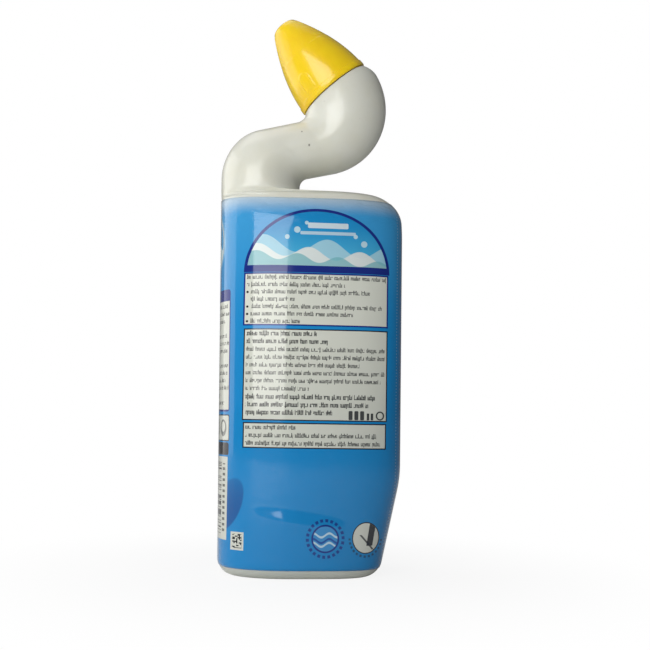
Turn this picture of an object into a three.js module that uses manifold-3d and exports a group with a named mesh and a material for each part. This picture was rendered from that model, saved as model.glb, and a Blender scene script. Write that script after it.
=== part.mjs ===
// Toilet cleaner bottle with a duck neck, a printed shrink sleeve and a squeeze-and-turn screw cap.
// Millimetres, +Z up. X runs across the broad face, the photo looks at the -Y face,
// the neck bends in the plane Y = 0 and the cap points up and to -X.
import * as THREE from 'three'
import { mergeVertices } from 'three/addons/utils/BufferGeometryUtils.js'
import Module from 'manifold-3d'

const DEG = Math.PI / 180

// Body
const BODY_LEFT_FOOT = 41.2 // half width on the neck side at the ground
const BODY_LEFT_TOP = 43.7 // half width on the neck side at the hump
const BODY_RIGHT = 44.9 // half width on the shoulder side
const BODY_HALF_DEPTH = 30
const TAPER_ANGLE = 12.2 * DEG // lower part of the shoulder side leans in by this much
const TAPER_TOP = 46
const TAPER_BLEND = 12 // height over which the taper runs into the straight side
const FOOT_RADIUS = 6.5
const PUSH_UP = 3 // height of the hollow under the base
const BEARING_INSET = 8.5 // from the side to the ring that stands on the ground
const PUSH_UP_RUN = 7
const WALL = 1.1
const PANEL_RECESS = 0.9 // the broad faces dip by this much behind the print
const PANEL_CENTRE = -2
const PANEL_HALF_WIDTH = 33
const PANEL_FOOT = 26.5
const PANEL_FOOT_RISE = 6
const PANEL_HEAD = 150
const PANEL_HEAD_RISE = 20

// Shoulder: a quarter ellipse at its end, and a larger one over which the broad faces lean in
const SHOULDER_START = 168
const SHOULDER_TOP = 183
const SHOULDER_RUN = 18.6
const FACE_START = 160
const FACE_TOP = 184
const FACE_RUN = 16

// Pocket under the neck, hump over it, crook under the cap and round head
const POCKET_X = 0.2
const POCKET_FOOT = 182
const POCKET_RADIUS = 5.2
const HUMP_X = -20.9
const HUMP_Z = 190
const HUMP_HEIGHT = 26
const NECK_SLOPE = 14 * DEG
const UNDERSIDE_SLOPE = 12.7 * DEG
const CROOK = [-7.4, 220.1]
const CROOK_RUN = 4.9 // from the crook to the corner it bends round
const HEAD_CENTRE = [4.2, 228]
const HEAD_RADIUS = 33.7
const HEAD_ARC_END = 32 * DEG
const HEAD_BULGE = [0.9, 0.6] // how far the head stands out beyond a straight run to the collar

// Heights on the neck side and half depths of the sections from the sleeve up to the collar
const SHOULDER_LEFT = 181
const ROOT_LEFT = 184.5
const SHOULDER_HALF_DEPTH = 20
const ROOT_HALF_DEPTH = 19.6
const COLUMN_HALF_DEPTH = 19.4
const BEND_HALF_DEPTH = 16.8
const LEAN_HALF_DEPTH = 16
const NECK_HALF_DEPTH = 15.5
const CROOK_HALF_DEPTH = 17.6
const HEAD_HALF_DEPTH = 18.7

// Outline powers of the sections, 2 is an ellipse
const BODY_LEFT_POWER = 2.6
const BODY_RIGHT_POWER = 4
const NECK_POWER = 1.75
const ROUND_POWER = 2
const SHOULDER_LEFT_POWERS = [BODY_LEFT_POWER, 3.2, 2.4, 2, NECK_POWER] // one for each section above
const SHOULDER_RIGHT_POWERS = [3, 2, 1.9, NECK_POWER]
const SHOULDER_EASE = 1.5 // how late the shoulder's faces turn in below its top

// Neck finish, along the cap's axis from the rim of the closed cap
const CAP_CENTRE = [11.6, 238]
const CAP_LEAN = 40 * DEG // cap axis from the vertical, towards -X
const RIM_GAP = 0.6
const COLLAR_RADIUS = 19
const COLLAR_EDGE = 0.8
const FINISH_RADIUS = 13.6
const BORE_RADIUS = 11.6
const FINISH_HEIGHT = 15
const LIP = 0.5

// Screw thread, right-handed
const PITCH = 4
const THREAD_TURNS = 1.25
const THREAD_WIDTH = 1.5
const THREAD_CREST = 0.8
const NECK_THREAD_RADIUS = 15
const NECK_THREAD_START = 6
const THREAD_ROOTING = 0.4

// Cap
const CAP_RADIUS = 19.1
const CAP_LENGTH = 41.8
const BAND_HEIGHT = 3.4
const BAND_PROUD = 0.35
const CAP_WALL = 1.6
const RIB_COUNT = 96
const RIB_DEPTH = 0.4
const RIB_START = 23.5
const RIB_END = 38.6
const TAPER_DROP = 12.2 // the cap's radius is this much less at the end of its taper
const TAPER_RUN = 39.5
const TAPER_POWER = 1.85
const THREAD_BORE = 15.6
const CAP_THREAD_RADIUS = 14.2
const SKIRT_BORE = 17.4
const SKIRT_DEPTH = 5
const SKIRT_GROOVE = 8.5
const INNER_WALL_RADIUS = 16.6
const THREAD_BORE_TOP = 14
const CAP_CEILING = 39.4
const PAD_WIDTH = 6.6
const PAD_HEIGHT = 9
const PAD_FOOT = 5
const PAD_PROUD = 0.45
const PAD_TURN = -133 * DEG

// Locking lugs of the squeeze-and-turn lock
const LUG_RADIUS = 16.6
const LUG_ANGLE = 22 * DEG
const LUG_FOOT = 0.6
const LUG_HEIGHT = 2.8
const TOOTH_CLEARANCE = 0.35

// Nozzle insert and sealing pad
const FIT = 0.3 // clearance between neighbouring parts
const NOZZLE_SKIRT_DEPTH = 9
const NOZZLE_WALL = 1.2
const NOZZLE_FLANGE = 1.3
const NOZZLE_BASE_RADIUS = 9.5
const NOZZLE_TIP_RADIUS = 3.9
const NOZZLE_HOLE_RADIUS = 2.4
const NOZZLE_TIP = 36.8
const PAD_DISC_RADIUS = 4.9
const PAD_DISC_THICKNESS = 2

// Shrink sleeve and contents
const FILM = 0.18
const FILM_GAP = 0.12
const FILM_FOOT = 4.4
const FILM_TOP = 177.8
const GEL_GAP = 0.3
const GEL_TOP = 168

const SEGMENTS = 44 // points round the bottle's outer face
const INNER_SKIP = 2 // the inner face has this many times fewer
const CAP_SEGMENTS = 48
const FINISH_SEGMENTS = 32

const capAxis = new THREE.Vector3(-Math.sin(CAP_LEAN), 0, Math.cos(CAP_LEAN))
const capAcross = new THREE.Vector3(Math.cos(CAP_LEAN), 0, Math.sin(CAP_LEAN))

const mix = (a, b, t) => a + (b - a) * t
const ease = (a, b, x) => THREE.MathUtils.smoothstep(x, a, b)
const flat = (x, z) => new THREE.Vector2(x, z)

// A point in the plane of the neck, from its place along and across the cap's axis
function onCap(along, across) {
  const x = CAP_CENTRE[0] + along * capAxis.x + across * capAcross.x
  const z = CAP_CENTRE[1] + along * capAxis.z + across * capAcross.z
  return flat(x, z)
}

// How far a quarter ellipse has turned in between its foot and its top, from 0 to 1
function roundOver(z, foot, top) {
  const rise = Math.max(0, z - foot) / (top - foot)
  return 1 - Math.sqrt(Math.max(0, 1 - rise * rise))
}

// Half widths of the body at a height
function leftSide(z) {
  return -mix(BODY_LEFT_FOOT, BODY_LEFT_TOP, z / HUMP_Z)
}

function rightSide(z) {
  const below = TAPER_TOP + TAPER_BLEND / 2 - z
  let lean = 0
  if (below > TAPER_BLEND) {
    lean = below - TAPER_BLEND / 2
  } else if (below > 0) {
    lean = (below * below) / (2 * TAPER_BLEND)
  }
  const corner = SHOULDER_RUN * roundOver(z, SHOULDER_START, SHOULDER_TOP)
  return BODY_RIGHT - lean * Math.tan(TAPER_ANGLE) - corner
}

function halfDepth(z) {
  return BODY_HALF_DEPTH - FACE_RUN * roundOver(z, FACE_START, FACE_TOP)
}

function recess(x, z) {
  const across = (x - PANEL_CENTRE) / PANEL_HALF_WIDTH
  const fade = Math.max(0, 1 - across * across)
  const foot = ease(PANEL_FOOT, PANEL_FOOT + PANEL_FOOT_RISE, z)
  const head = 1 - ease(PANEL_HEAD, PANEL_HEAD + PANEL_HEAD_RISE, z)
  return PANEL_RECESS * fade * fade * foot * head
}

// One closed section between a left and a right end, flattened or sharpened by its powers
function section(station, segments) {
  const { left, right, depth, leftPower, rightPower } = station
  const middle = left.clone().add(right).multiplyScalar(0.5)
  const half = right.clone().sub(left).multiplyScalar(0.5)
  const points = []
  for (let i = 0; i < segments; i++) {
    const angle = (i / segments) * 2 * Math.PI
    const c = Math.cos(angle)
    const s = Math.sin(angle)
    const power = c > 0 ? rightPower : leftPower
    const u = Math.sign(c) * Math.abs(c) ** (2 / power)
    const v = Math.sign(s) * Math.abs(s) ** (2 / power)
    const x = middle.x + half.x * u
    const z = middle.y + half.y * u
    const dip = station.panel ? recess(x, z) : 0
    points.push(new THREE.Vector3(x, v * (depth - dip), z))
  }
  return points
}

// Level sections of the body, drawn in from its outer face by an inset
function level(z, inset) {
  return {
    left: flat(leftSide(z) + inset, z),
    right: flat(rightSide(z) - inset, z),
    depth: halfDepth(z) - inset,
    leftPower: BODY_LEFT_POWER,
    rightPower: mix(BODY_RIGHT_POWER, SHOULDER_RIGHT_POWERS[0], ease(FACE_START, FILM_TOP, z)),
    panel: true,
  }
}

// Value between the entries of a list, the last one holds on
function between(list, place) {
  const low = Math.min(Math.floor(place), list.length - 1)
  const high = Math.min(low + 1, list.length - 1)
  return mix(list[low], list[high], place - low)
}

function bodyHeights(top) {
  const straight = [PANEL_FOOT - 3, PANEL_FOOT, PANEL_FOOT + PANEL_FOOT_RISE / 2]
  straight.push(PANEL_FOOT + PANEL_FOOT_RISE, TAPER_TOP - 6, TAPER_TOP, TAPER_TOP + 6)
  straight.push(95, 138, PANEL_HEAD, 158)
  const corner = [163, GEL_TOP, 171.5, 174, 176.3, FILM_TOP]
  return [...straight, ...corner].filter((z) => z <= top)
}

// Ends of the sections above the sleeve, each run pairs a left curve with a right curve
function neckRuns() {
  const leftTop = flat(leftSide(FILM_TOP), FILM_TOP)
  const humpFoot = flat(-BODY_LEFT_TOP, HUMP_Z)
  const humpWidth = BODY_LEFT_TOP + HUMP_X
  const lineAngle = Math.PI / 2 + Math.atan(Math.tan(NECK_SLOPE) * (humpWidth / HUMP_HEIGHT))
  const hump = new THREE.EllipseCurve(HUMP_X, HUMP_Z, humpWidth, HUMP_HEIGHT, Math.PI, lineAngle, true)
  const humpSplit = mix(Math.PI, lineAngle, 0.8)
  const humpLow = new THREE.EllipseCurve(HUMP_X, HUMP_Z, humpWidth, HUMP_HEIGHT, Math.PI, humpSplit, true)
  const humpHigh = new THREE.EllipseCurve(HUMP_X, HUMP_Z, humpWidth, HUMP_HEIGHT, humpSplit, lineAngle, true)
  const crookFoot = flat(...CROOK)
  const collarLeft = onCap(-RIM_GAP, -COLLAR_RADIUS)
  const collarRight = onCap(-RIM_GAP, COLLAR_RADIUS)
  const crookCorner = flat(CROOK[0] + CROOK_RUN, CROOK[1] + CROOK_RUN * Math.tan(NECK_SLOPE))
  const crookNear = mixPoint(crookFoot, crookCorner, 0.25)
  const crookLow = mixPoint(crookCorner, collarLeft, 0.25)
  const crookHigh = mixPoint(crookCorner, collarLeft, 0.7)

  const rightTop = flat(rightSide(FILM_TOP), FILM_TOP)
  const shoulderEdge = flat(BODY_RIGHT - SHOULDER_RUN, SHOULDER_TOP)
  const shoulderCorner = flat(mix(rightTop.x, shoulderEdge.x, 0.45), SHOULDER_TOP)
  const pocketFoot = flat(POCKET_X, POCKET_FOOT)
  const pocketZ = POCKET_FOOT + POCKET_RADIUS
  const pocketTurn = Math.PI / 2 + UNDERSIDE_SLOPE
  const pocketTop = flat(
    POCKET_X + POCKET_RADIUS * Math.cos(pocketTurn),
    pocketZ + POCKET_RADIUS * Math.sin(pocketTurn),
  )
  const headStart = UNDERSIDE_SLOPE - Math.PI / 2
  const headFoot = flat(
    HEAD_CENTRE[0] + HEAD_RADIUS * Math.cos(headStart),
    HEAD_CENTRE[1] + HEAD_RADIUS * Math.sin(headStart),
  )
  const headEnd = flat(
    HEAD_CENTRE[0] + HEAD_RADIUS * Math.cos(HEAD_ARC_END),
    HEAD_CENTRE[1] + HEAD_RADIUS * Math.sin(HEAD_ARC_END),
  )
  const headCorner = flat(
    mix(headEnd.x, collarRight.x, 0.45) + HEAD_BULGE[0],
    mix(headEnd.y, collarRight.y, 0.55) + HEAD_BULGE[1],
  )
  const line = (a, b) => new THREE.LineCurve(a, b)
  const bend = (a, b, c) => new THREE.QuadraticBezierCurve(a, b, c)
  const pocket = new THREE.EllipseCurve(
    POCKET_X, pocketZ, POCKET_RADIUS, POCKET_RADIUS, -Math.PI / 2, pocketTurn - 2 * Math.PI, true,
  )
  const head = new THREE.EllipseCurve(...HEAD_CENTRE, HEAD_RADIUS, HEAD_RADIUS, headStart, HEAD_ARC_END)
  const leftMid = flat(leftSide(SHOULDER_LEFT), SHOULDER_LEFT)
  const leftHigh = flat(leftSide(ROOT_LEFT), ROOT_LEFT)
  const underside = mixPoint(pocketTop, headFoot, 0.4)
  return [
    { left: line(leftTop, leftMid), right: bend(rightTop, shoulderCorner, shoulderEdge), rings: 4 },
    { left: line(leftMid, leftHigh), right: line(shoulderEdge, pocketFoot), rings: 4 },
    { left: line(leftHigh, humpFoot), right: pocket, to: 0.3, rings: 2 },
    { left: humpLow, right: pocket, from: 0.3, rings: 7 },
    { left: humpHigh, right: line(pocketTop, underside), rings: 2 },
    { left: line(hump.getPoint(1), crookFoot), right: line(underside, headFoot), rings: 3 },
    { left: bend(crookFoot, crookNear, crookLow), right: head, to: 0.72, rings: 7 },
    { left: line(crookLow, crookHigh), right: head, from: 0.72, rings: 3 },
    { left: line(crookHigh, collarLeft), right: bend(headEnd, headCorner, collarRight), rings: 3 },
  ]
}

function mixPoint(a, b, t) {
  return a.clone().lerp(b, t)
}

// Sections from the top of the sleeve to the collar under the cap
function neckStations(inset) {
  const runs = neckRuns()
  const total = runs.length
  const depths = [
    halfDepth(FILM_TOP),
    SHOULDER_HALF_DEPTH,
    ROOT_HALF_DEPTH,
    COLUMN_HALF_DEPTH,
    BEND_HALF_DEPTH,
    LEAN_HALF_DEPTH,
    NECK_HALF_DEPTH,
    CROOK_HALF_DEPTH,
    HEAD_HALF_DEPTH,
    COLLAR_RADIUS,
  ]
  const stations = []
  for (let r = 0; r < total; r++) {
    const run = runs[r]
    const from = run.from ?? 0
    const to = run.to ?? 1
    for (let i = 1; i <= run.rings; i++) {
      const t = i / run.rings
      const u = mix(from, to, t)
      const left = run.left.getPointAt(t)
      const right = run.right.getPointAt(u)
      const leftWay = run.left.getTangentAt(t)
      const rightWay = run.right.getTangentAt(u)
      left.add(flat(leftWay.y, -leftWay.x).multiplyScalar(inset))
      right.add(flat(-rightWay.y, rightWay.x).multiplyScalar(inset))
      const place = r + t
      const round = ease(6, total, place)
      const leftPower = mix(between(SHOULDER_LEFT_POWERS, place), ROUND_POWER, round)
      const rightPower = mix(between(SHOULDER_RIGHT_POWERS, place), ROUND_POWER, round)
      const drawn = r === 0 ? t ** SHOULDER_EASE : t
      const depth = between(depths, r + drawn) - inset
      stations.push({ left, right, depth, leftPower, rightPower })
    }
  }
  return stations
}

// A circle round the cap's axis
function capRing(radius, along, segments) {
  const centre = onCap(along, 0)
  const points = []
  for (let i = 0; i < segments; i++) {
    const angle = (i / segments) * 2 * Math.PI
    const across = radius * Math.cos(angle)
    const x = centre.x + across * capAcross.x
    const z = centre.y + across * capAcross.z
    points.push(new THREE.Vector3(x, radius * Math.sin(angle), z))
  }
  return points
}

// Closed skin over a run of rings; a ring may have twice the points of its neighbour
function skin(rings, closed) {
  const positions = []
  const indices = []
  const starts = []
  for (const ring of rings) {
    starts.push(positions.length / 3)
    for (const p of ring) {
      positions.push(p.x, p.y, p.z)
    }
  }
  const joinRings = (a, b) => {
    const na = rings[a].length
    const nb = rings[b].length
    const n = Math.max(na, nb)
    const stepA = n / na
    const stepB = n / nb
    for (let i = 0; i < n; i++) {
      const a0 = starts[a] + (Math.floor(i / stepA) % na)
      const a1 = starts[a] + (Math.floor((i + 1) / stepA) % na)
      const b0 = starts[b] + (Math.floor(i / stepB) % nb)
      const b1 = starts[b] + (Math.floor((i + 1) / stepB) % nb)
      if (a0 !== a1) {
        indices.push(a0, a1, b1)
      }
      if (b0 !== b1) {
        indices.push(a0, b1, b0)
      }
    }
  }
  for (let r = 0; r + 1 < rings.length; r++) {
    joinRings(r, r + 1)
  }
  if (closed) {
    joinRings(rings.length - 1, 0)
  } else {
    const cover = (ring, start, flip) => {
      const centre = new THREE.Vector3()
      ring.forEach((p) => centre.add(p))
      centre.multiplyScalar(1 / ring.length)
      const hub = positions.length / 3
      positions.push(centre.x, centre.y, centre.z)
      for (let i = 0; i < ring.length; i++) {
        const p = start + i
        const q = start + ((i + 1) % ring.length)
        indices.push(...(flip ? [hub, q, p] : [hub, p, q]))
      }
    }
    cover(rings[0], starts[0], true)
    cover(rings[rings.length - 1], starts[rings.length - 1], false)
  }
  const geometry = new THREE.BufferGeometry()
  geometry.setAttribute('position', new THREE.Float32BufferAttribute(positions, 3))
  geometry.setIndex(indices)
  return geometry
}

// Rings of a solid of revolution about +Z
function turned(profile, segments) {
  const rings = []
  for (const [radius, along] of profile) {
    const ring = []
    for (let i = 0; i < segments; i++) {
      const angle = (i / segments) * 2 * Math.PI
      ring.push(new THREE.Vector3(radius * Math.cos(angle), radius * Math.sin(angle), along))
    }
    rings.push(ring)
  }
  return rings
}

const INNER_FOOT_TURNS = [30, 60]

const wasm = await Module()
wasm.setup()

function solid(geometry) {
  const bare = geometry.clone()
  bare.deleteAttribute('normal')
  bare.deleteAttribute('uv')
  const welded = mergeVertices(bare, 1e-5)
  const vertProperties = new Float32Array(welded.attributes.position.array)
  const triVerts = new Uint32Array(welded.index.array)
  return new wasm.Manifold(new wasm.Mesh({ numProp: 3, vertProperties, triVerts }))
}

function toGeometry(body) {
  const mesh = body.getMesh()
  const geometry = new THREE.BufferGeometry()
  geometry.setAttribute('position', new THREE.Float32BufferAttribute(mesh.vertProperties, 3))
  geometry.setIndex(Array.from(mesh.triVerts))
  return geometry
}

// One helical thread about +Z between a root and a crest radius
function thread(root, crest, start, phase) {
  const steps = Math.round(THREAD_TURNS * 32)
  const rings = []
  for (let i = 0; i <= steps; i++) {
    const turn = (i / steps) * THREAD_TURNS
    const angle = phase + turn * 2 * Math.PI
    const z = start + turn * PITCH
    const run = Math.min(1, Math.min(i, steps - i) / 3 + 0.15)
    const reach = mix(root, crest, run)
    const direction = new THREE.Vector3(Math.cos(angle), Math.sin(angle), 0)
    const corner = (radius, up) => direction.clone().multiplyScalar(radius).setZ(z + up)
    const ring = [
      corner(root, -THREAD_WIDTH / 2),
      corner(reach, -THREAD_CREST / 2),
      corner(reach, THREAD_CREST / 2),
      corner(root, THREAD_WIDTH / 2),
    ]
    rings.push(crest > root ? ring : ring.reverse())
  }
  return skin(rings.reverse(), false)
}

// A block that follows a circle about +Z
function arcBlock(inner, outer, angle, foot, height, centre) {
  const steps = 4
  const rings = []
  for (let i = 0; i <= steps; i++) {
    const a = centre + angle * (i / steps - 0.5)
    const direction = new THREE.Vector3(Math.cos(a), Math.sin(a), 0)
    const corner = (radius, z) => direction.clone().multiplyScalar(radius).setZ(z)
    rings.push([
      corner(inner, foot),
      corner(outer, foot),
      corner(outer, foot + height),
      corner(inner, foot + height),
    ])
  }
  return skin(rings.reverse(), false)
}

// Blow-moulded bottle: outer face, neck finish and inner face in one skin
function makeBottle() {
  const sleeveRoom = FILM + FILM_GAP
  const rings = []
  const base = (inset, z) => {
    const left = flat(leftSide(0) + inset, z)
    const right = flat(rightSide(0) - inset, z)
    return section({ ...level(z, inset), left, right, panel: false }, SEGMENTS)
  }
  rings.push(base(BEARING_INSET + PUSH_UP_RUN, PUSH_UP))
  rings.push(base(BEARING_INSET + PUSH_UP_RUN / 2, PUSH_UP * 0.6))
  rings.push(base(BEARING_INSET, 0))
  rings.push(base(FOOT_RADIUS, 0))
  for (const turn of [22.5, 45, 67.5, 90]) {
    const inset = FOOT_RADIUS * (1 - Math.sin(turn * DEG))
    const z = FOOT_RADIUS * (1 - Math.cos(turn * DEG))
    rings.push(section({ ...level(z, inset + sleeveRoom) }, SEGMENTS))
  }
  for (const z of bodyHeights(FILM_TOP)) {
    rings.push(section(level(z, sleeveRoom), SEGMENTS))
  }
  for (const station of neckStations(0)) {
    rings.push(section(station, SEGMENTS))
  }
  rings.push(capRing(COLLAR_RADIUS - COLLAR_EDGE, -RIM_GAP, SEGMENTS))
  rings.push(capRing(FINISH_RADIUS, -RIM_GAP, SEGMENTS))
  rings.push(capRing(FINISH_RADIUS, FINISH_HEIGHT - LIP, SEGMENTS))
  rings.push(capRing(FINISH_RADIUS - LIP, FINISH_HEIGHT, SEGMENTS))
  rings.push(capRing(BORE_RADIUS + LIP, FINISH_HEIGHT, SEGMENTS))
  rings.push(capRing(BORE_RADIUS, FINISH_HEIGHT - LIP, SEGMENTS))
  rings.push(capRing(BORE_RADIUS, -RIM_GAP - WALL, SEGMENTS))

  const inner = SEGMENTS / INNER_SKIP
  const inside = neckStations(WALL).reverse()
  inside.forEach((station, i) => {
    if (i > 1 && i % INNER_SKIP === 0) {
      rings.push(section(station, inner))
    }
  })
  const heights = bodyHeights(FILM_TOP - WALL).reverse()
  for (const z of heights) {
    rings.push(section(level(z, WALL + sleeveRoom), inner))
  }
  for (const turn of [...INNER_FOOT_TURNS].reverse()) {
    const inset = FOOT_RADIUS * (1 - Math.sin(turn * DEG))
    const z = FOOT_RADIUS * (1 - Math.cos(turn * DEG)) + WALL
    rings.push(section(level(z, inset + WALL + sleeveRoom), inner))
  }
  const floor = (inset, z) => section({ ...level(z, inset), panel: false }, inner)
  rings.push(floor(BEARING_INSET, WALL))
  rings.push(floor(BEARING_INSET + PUSH_UP_RUN, WALL + PUSH_UP))
  return skin(rings, false)
}

// Gel inside the bottle, up to its fill line
function makeGel() {
  const points = SEGMENTS / INNER_SKIP
  const room = WALL + FILM + FILM_GAP + GEL_GAP
  const rings = []
  const floor = (inset, z) => section({ ...level(z, inset), panel: false }, points)
  rings.push(floor(BEARING_INSET + PUSH_UP_RUN, WALL + PUSH_UP + GEL_GAP))
  rings.push(floor(BEARING_INSET + GEL_GAP, WALL + GEL_GAP))
  for (const turn of INNER_FOOT_TURNS) {
    const inset = FOOT_RADIUS * (1 - Math.sin(turn * DEG))
    const z = FOOT_RADIUS * (1 - Math.cos(turn * DEG)) + WALL + GEL_GAP
    rings.push(section(level(z, inset + room), points))
  }
  for (const z of bodyHeights(GEL_TOP)) {
    rings.push(section(level(z, room), points))
  }
  return skin(rings, false)
}

// Printed film shrunk onto the body, open at both ends
function makeSleeve() {
  const heights = [FILM_FOOT, FOOT_RADIUS, ...bodyHeights(FILM_TOP)]
  const face = (inset) => heights.map((z) => {
    const drop = Math.max(0, 1 - z / FOOT_RADIUS)
    const foot = FOOT_RADIUS * (1 - Math.sqrt(1 - drop * drop))
    return section(level(z, inset + foot), SEGMENTS)
  })
  return skin([...face(0), ...face(FILM).reverse()], true)
}

// Dosing nozzle that is pressed into the bottle's mouth
function makeNozzle() {
  const seat = FINISH_HEIGHT + FIT
  const flange = seat + NOZZLE_FLANGE
  const skirt = BORE_RADIUS - FIT
  const profile = [
    [skirt - NOZZLE_WALL, FINISH_HEIGHT - NOZZLE_SKIRT_DEPTH],
    [skirt - LIP, FINISH_HEIGHT - NOZZLE_SKIRT_DEPTH],
    [skirt, FINISH_HEIGHT - NOZZLE_SKIRT_DEPTH + 1.5],
    [skirt, seat],
    [FINISH_RADIUS - FIT, seat],
    [FINISH_RADIUS - FIT, flange],
    [NOZZLE_BASE_RADIUS, flange],
    [NOZZLE_TIP_RADIUS, NOZZLE_TIP - LIP],
    [NOZZLE_TIP_RADIUS - LIP, NOZZLE_TIP],
    [NOZZLE_HOLE_RADIUS, NOZZLE_TIP],
    [NOZZLE_HOLE_RADIUS, NOZZLE_TIP - 3],
    [NOZZLE_BASE_RADIUS - NOZZLE_WALL, flange - NOZZLE_WALL / 2],
    [skirt - NOZZLE_WALL, seat - NOZZLE_WALL],
  ]
  return skin(turned(profile, FINISH_SEGMENTS), true)
}

function makeSealingPad() {
  const foot = NOZZLE_TIP + FIT
  const profile = [[PAD_DISC_RADIUS, foot], [PAD_DISC_RADIUS, foot + PAD_DISC_THICKNESS]]
  return skin(turned(profile, FINISH_SEGMENTS), false)
}

// Radius of the cap's smooth outer face
function capRadius(along) {
  return CAP_RADIUS - TAPER_DROP * (along / TAPER_RUN) ** TAPER_POWER
}

function ribRing(along) {
  const ring = []
  for (let i = 0; i < RIB_COUNT * 2; i++) {
    const angle = (i / (RIB_COUNT * 2)) * 2 * Math.PI
    const radius = capRadius(along) - (i % 2 === 0 ? RIB_DEPTH : RIB_DEPTH / 4)
    ring.push(new THREE.Vector3(radius * Math.cos(angle), radius * Math.sin(angle), along))
  }
  return ring
}

// A tab with a round top that stands proud of the skirt, one on each side to squeeze
function squeezePad(turn) {
  const half = PAD_WIDTH / 2
  const shape = new THREE.Shape()
  shape.moveTo(-half, -PAD_HEIGHT / 2)
  shape.lineTo(half, -PAD_HEIGHT / 2)
  shape.lineTo(half, PAD_HEIGHT / 2 - half)
  shape.absarc(0, PAD_HEIGHT / 2 - half, half, 0, Math.PI)
  shape.closePath()
  const bury = 1
  const geometry = new THREE.ExtrudeGeometry(shape, {
    depth: PAD_PROUD + bury,
    bevelEnabled: false,
    curveSegments: 10,
  })
  const middle = PAD_FOOT + PAD_HEIGHT / 2
  const lean = Math.atan2(capRadius(PAD_FOOT) - capRadius(PAD_FOOT + PAD_HEIGHT), PAD_HEIGHT)
  const across = new THREE.Vector3(-Math.sin(turn), Math.cos(turn), 0)
  const out = new THREE.Vector3(
    Math.cos(turn) * Math.cos(lean), Math.sin(turn) * Math.cos(lean), Math.sin(lean),
  )
  const up = new THREE.Vector3().crossVectors(out, across)
  const radius = capRadius(middle)
  const origin = new THREE.Vector3(radius * Math.cos(turn), radius * Math.sin(turn), middle)
  origin.addScaledVector(out, -bury)
  geometry.applyMatrix4(new THREE.Matrix4().makeBasis(across, up, out).setPosition(origin))
  return geometry
}

function makeCap() {
  const band = CAP_RADIUS + BAND_PROUD
  const smooth = (along) => [capRadius(along), along]
  const hollow = (along) => [capRadius(along) - CAP_WALL, along]
  const lower = [
    [band - LIP, 0],
    [band, LIP],
    [band, BAND_HEIGHT - BAND_PROUD],
    smooth(BAND_HEIGHT),
    smooth(7.5),
    smooth(12),
    smooth(16),
    smooth(20),
    smooth(RIB_START),
  ]
  const tip = [smooth(RIB_END), smooth(TAPER_RUN), [5.3, CAP_LENGTH - 0.8], [2.9, CAP_LENGTH - 0.2]]
  const cover = skin([
    ...turned([[0.01, CAP_CEILING], hollow(CAP_CEILING), hollow(34), hollow(28), hollow(21)], CAP_SEGMENTS),
    ...turned([
      [THREAD_BORE, THREAD_BORE_TOP],
      [THREAD_BORE, SKIRT_DEPTH],
      [INNER_WALL_RADIUS, SKIRT_DEPTH],
      [INNER_WALL_RADIUS, SKIRT_GROOVE],
      [SKIRT_BORE, SKIRT_GROOVE],
      [SKIRT_BORE, 0],
    ], CAP_SEGMENTS),
    ...turned(lower, CAP_SEGMENTS),
    ribRing(RIB_START + RIB_DEPTH),
    ribRing(mix(RIB_START, RIB_END, 0.35)),
    ribRing(mix(RIB_START, RIB_END, 0.68)),
    ribRing(RIB_END - RIB_DEPTH / 2),
    ...turned(tip, CAP_SEGMENTS),
  ], false)
  let cap = solid(cover)
  const extras = [
    thread(THREAD_BORE + THREAD_ROOTING, CAP_THREAD_RADIUS, NECK_THREAD_START + PITCH / 2, 0),
  ]
  for (const side of [0, Math.PI]) {
    const tooth = PAD_TURN + Math.PI / 2 + side + LUG_ANGLE
    const inner = LUG_RADIUS + TOOTH_CLEARANCE
    extras.push(arcBlock(inner, SKIRT_BORE + THREAD_ROOTING, LUG_ANGLE / 2, LUG_FOOT, LUG_HEIGHT, tooth))
    extras.push(squeezePad(PAD_TURN + side))
  }
  for (const extra of extras) {
    cap = cap.add(solid(extra))
  }
  return toGeometry(cap)
}

// Turns the cap's own frame, +Z along its axis, into the frame of the bottle
const capFrame = new THREE.Matrix4()
  .makeTranslation(CAP_CENTRE[0], 0, CAP_CENTRE[1])
  .multiply(new THREE.Matrix4().makeRotationY(-CAP_LEAN))

function bottleWithThread() {
  let body = solid(makeBottle())
  const root = FINISH_RADIUS - THREAD_ROOTING
  const extras = [thread(root, NECK_THREAD_RADIUS, NECK_THREAD_START, 0)]
  for (const side of [0, Math.PI]) {
    const centre = PAD_TURN + Math.PI / 2 + side
    const foot = -RIM_GAP - THREAD_ROOTING
    extras.push(arcBlock(root, LUG_RADIUS, LUG_ANGLE, foot, LUG_HEIGHT - foot, centre))
  }
  for (const extra of extras) {
    extra.applyMatrix4(capFrame)
    body = body.add(solid(extra))
  }
  return toGeometry(body)
}

const group = new THREE.Group()
group.name = 'toilet_cleaner_bottle'

// The two sides differ a little, so the whole stands centred on the origin
const upright = new THREE.Group()
upright.name = 'upright'
upright.position.x = (BODY_LEFT_TOP - BODY_RIGHT) / 2
group.add(upright)

const capGroup = new THREE.Group()
capGroup.name = 'cap_axis'
capGroup.position.set(CAP_CENTRE[0], 0, CAP_CENTRE[1])
capGroup.rotation.y = -CAP_LEAN
upright.add(capGroup)

function add(parent, name, geometry, color, roughness) {
  geometry.computeVertexNormals()
  const material = new THREE.MeshStandardMaterial({ color, roughness, metalness: 0 })
  const mesh = new THREE.Mesh(geometry, material)
  mesh.name = name
  parent.add(mesh)
}

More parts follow.
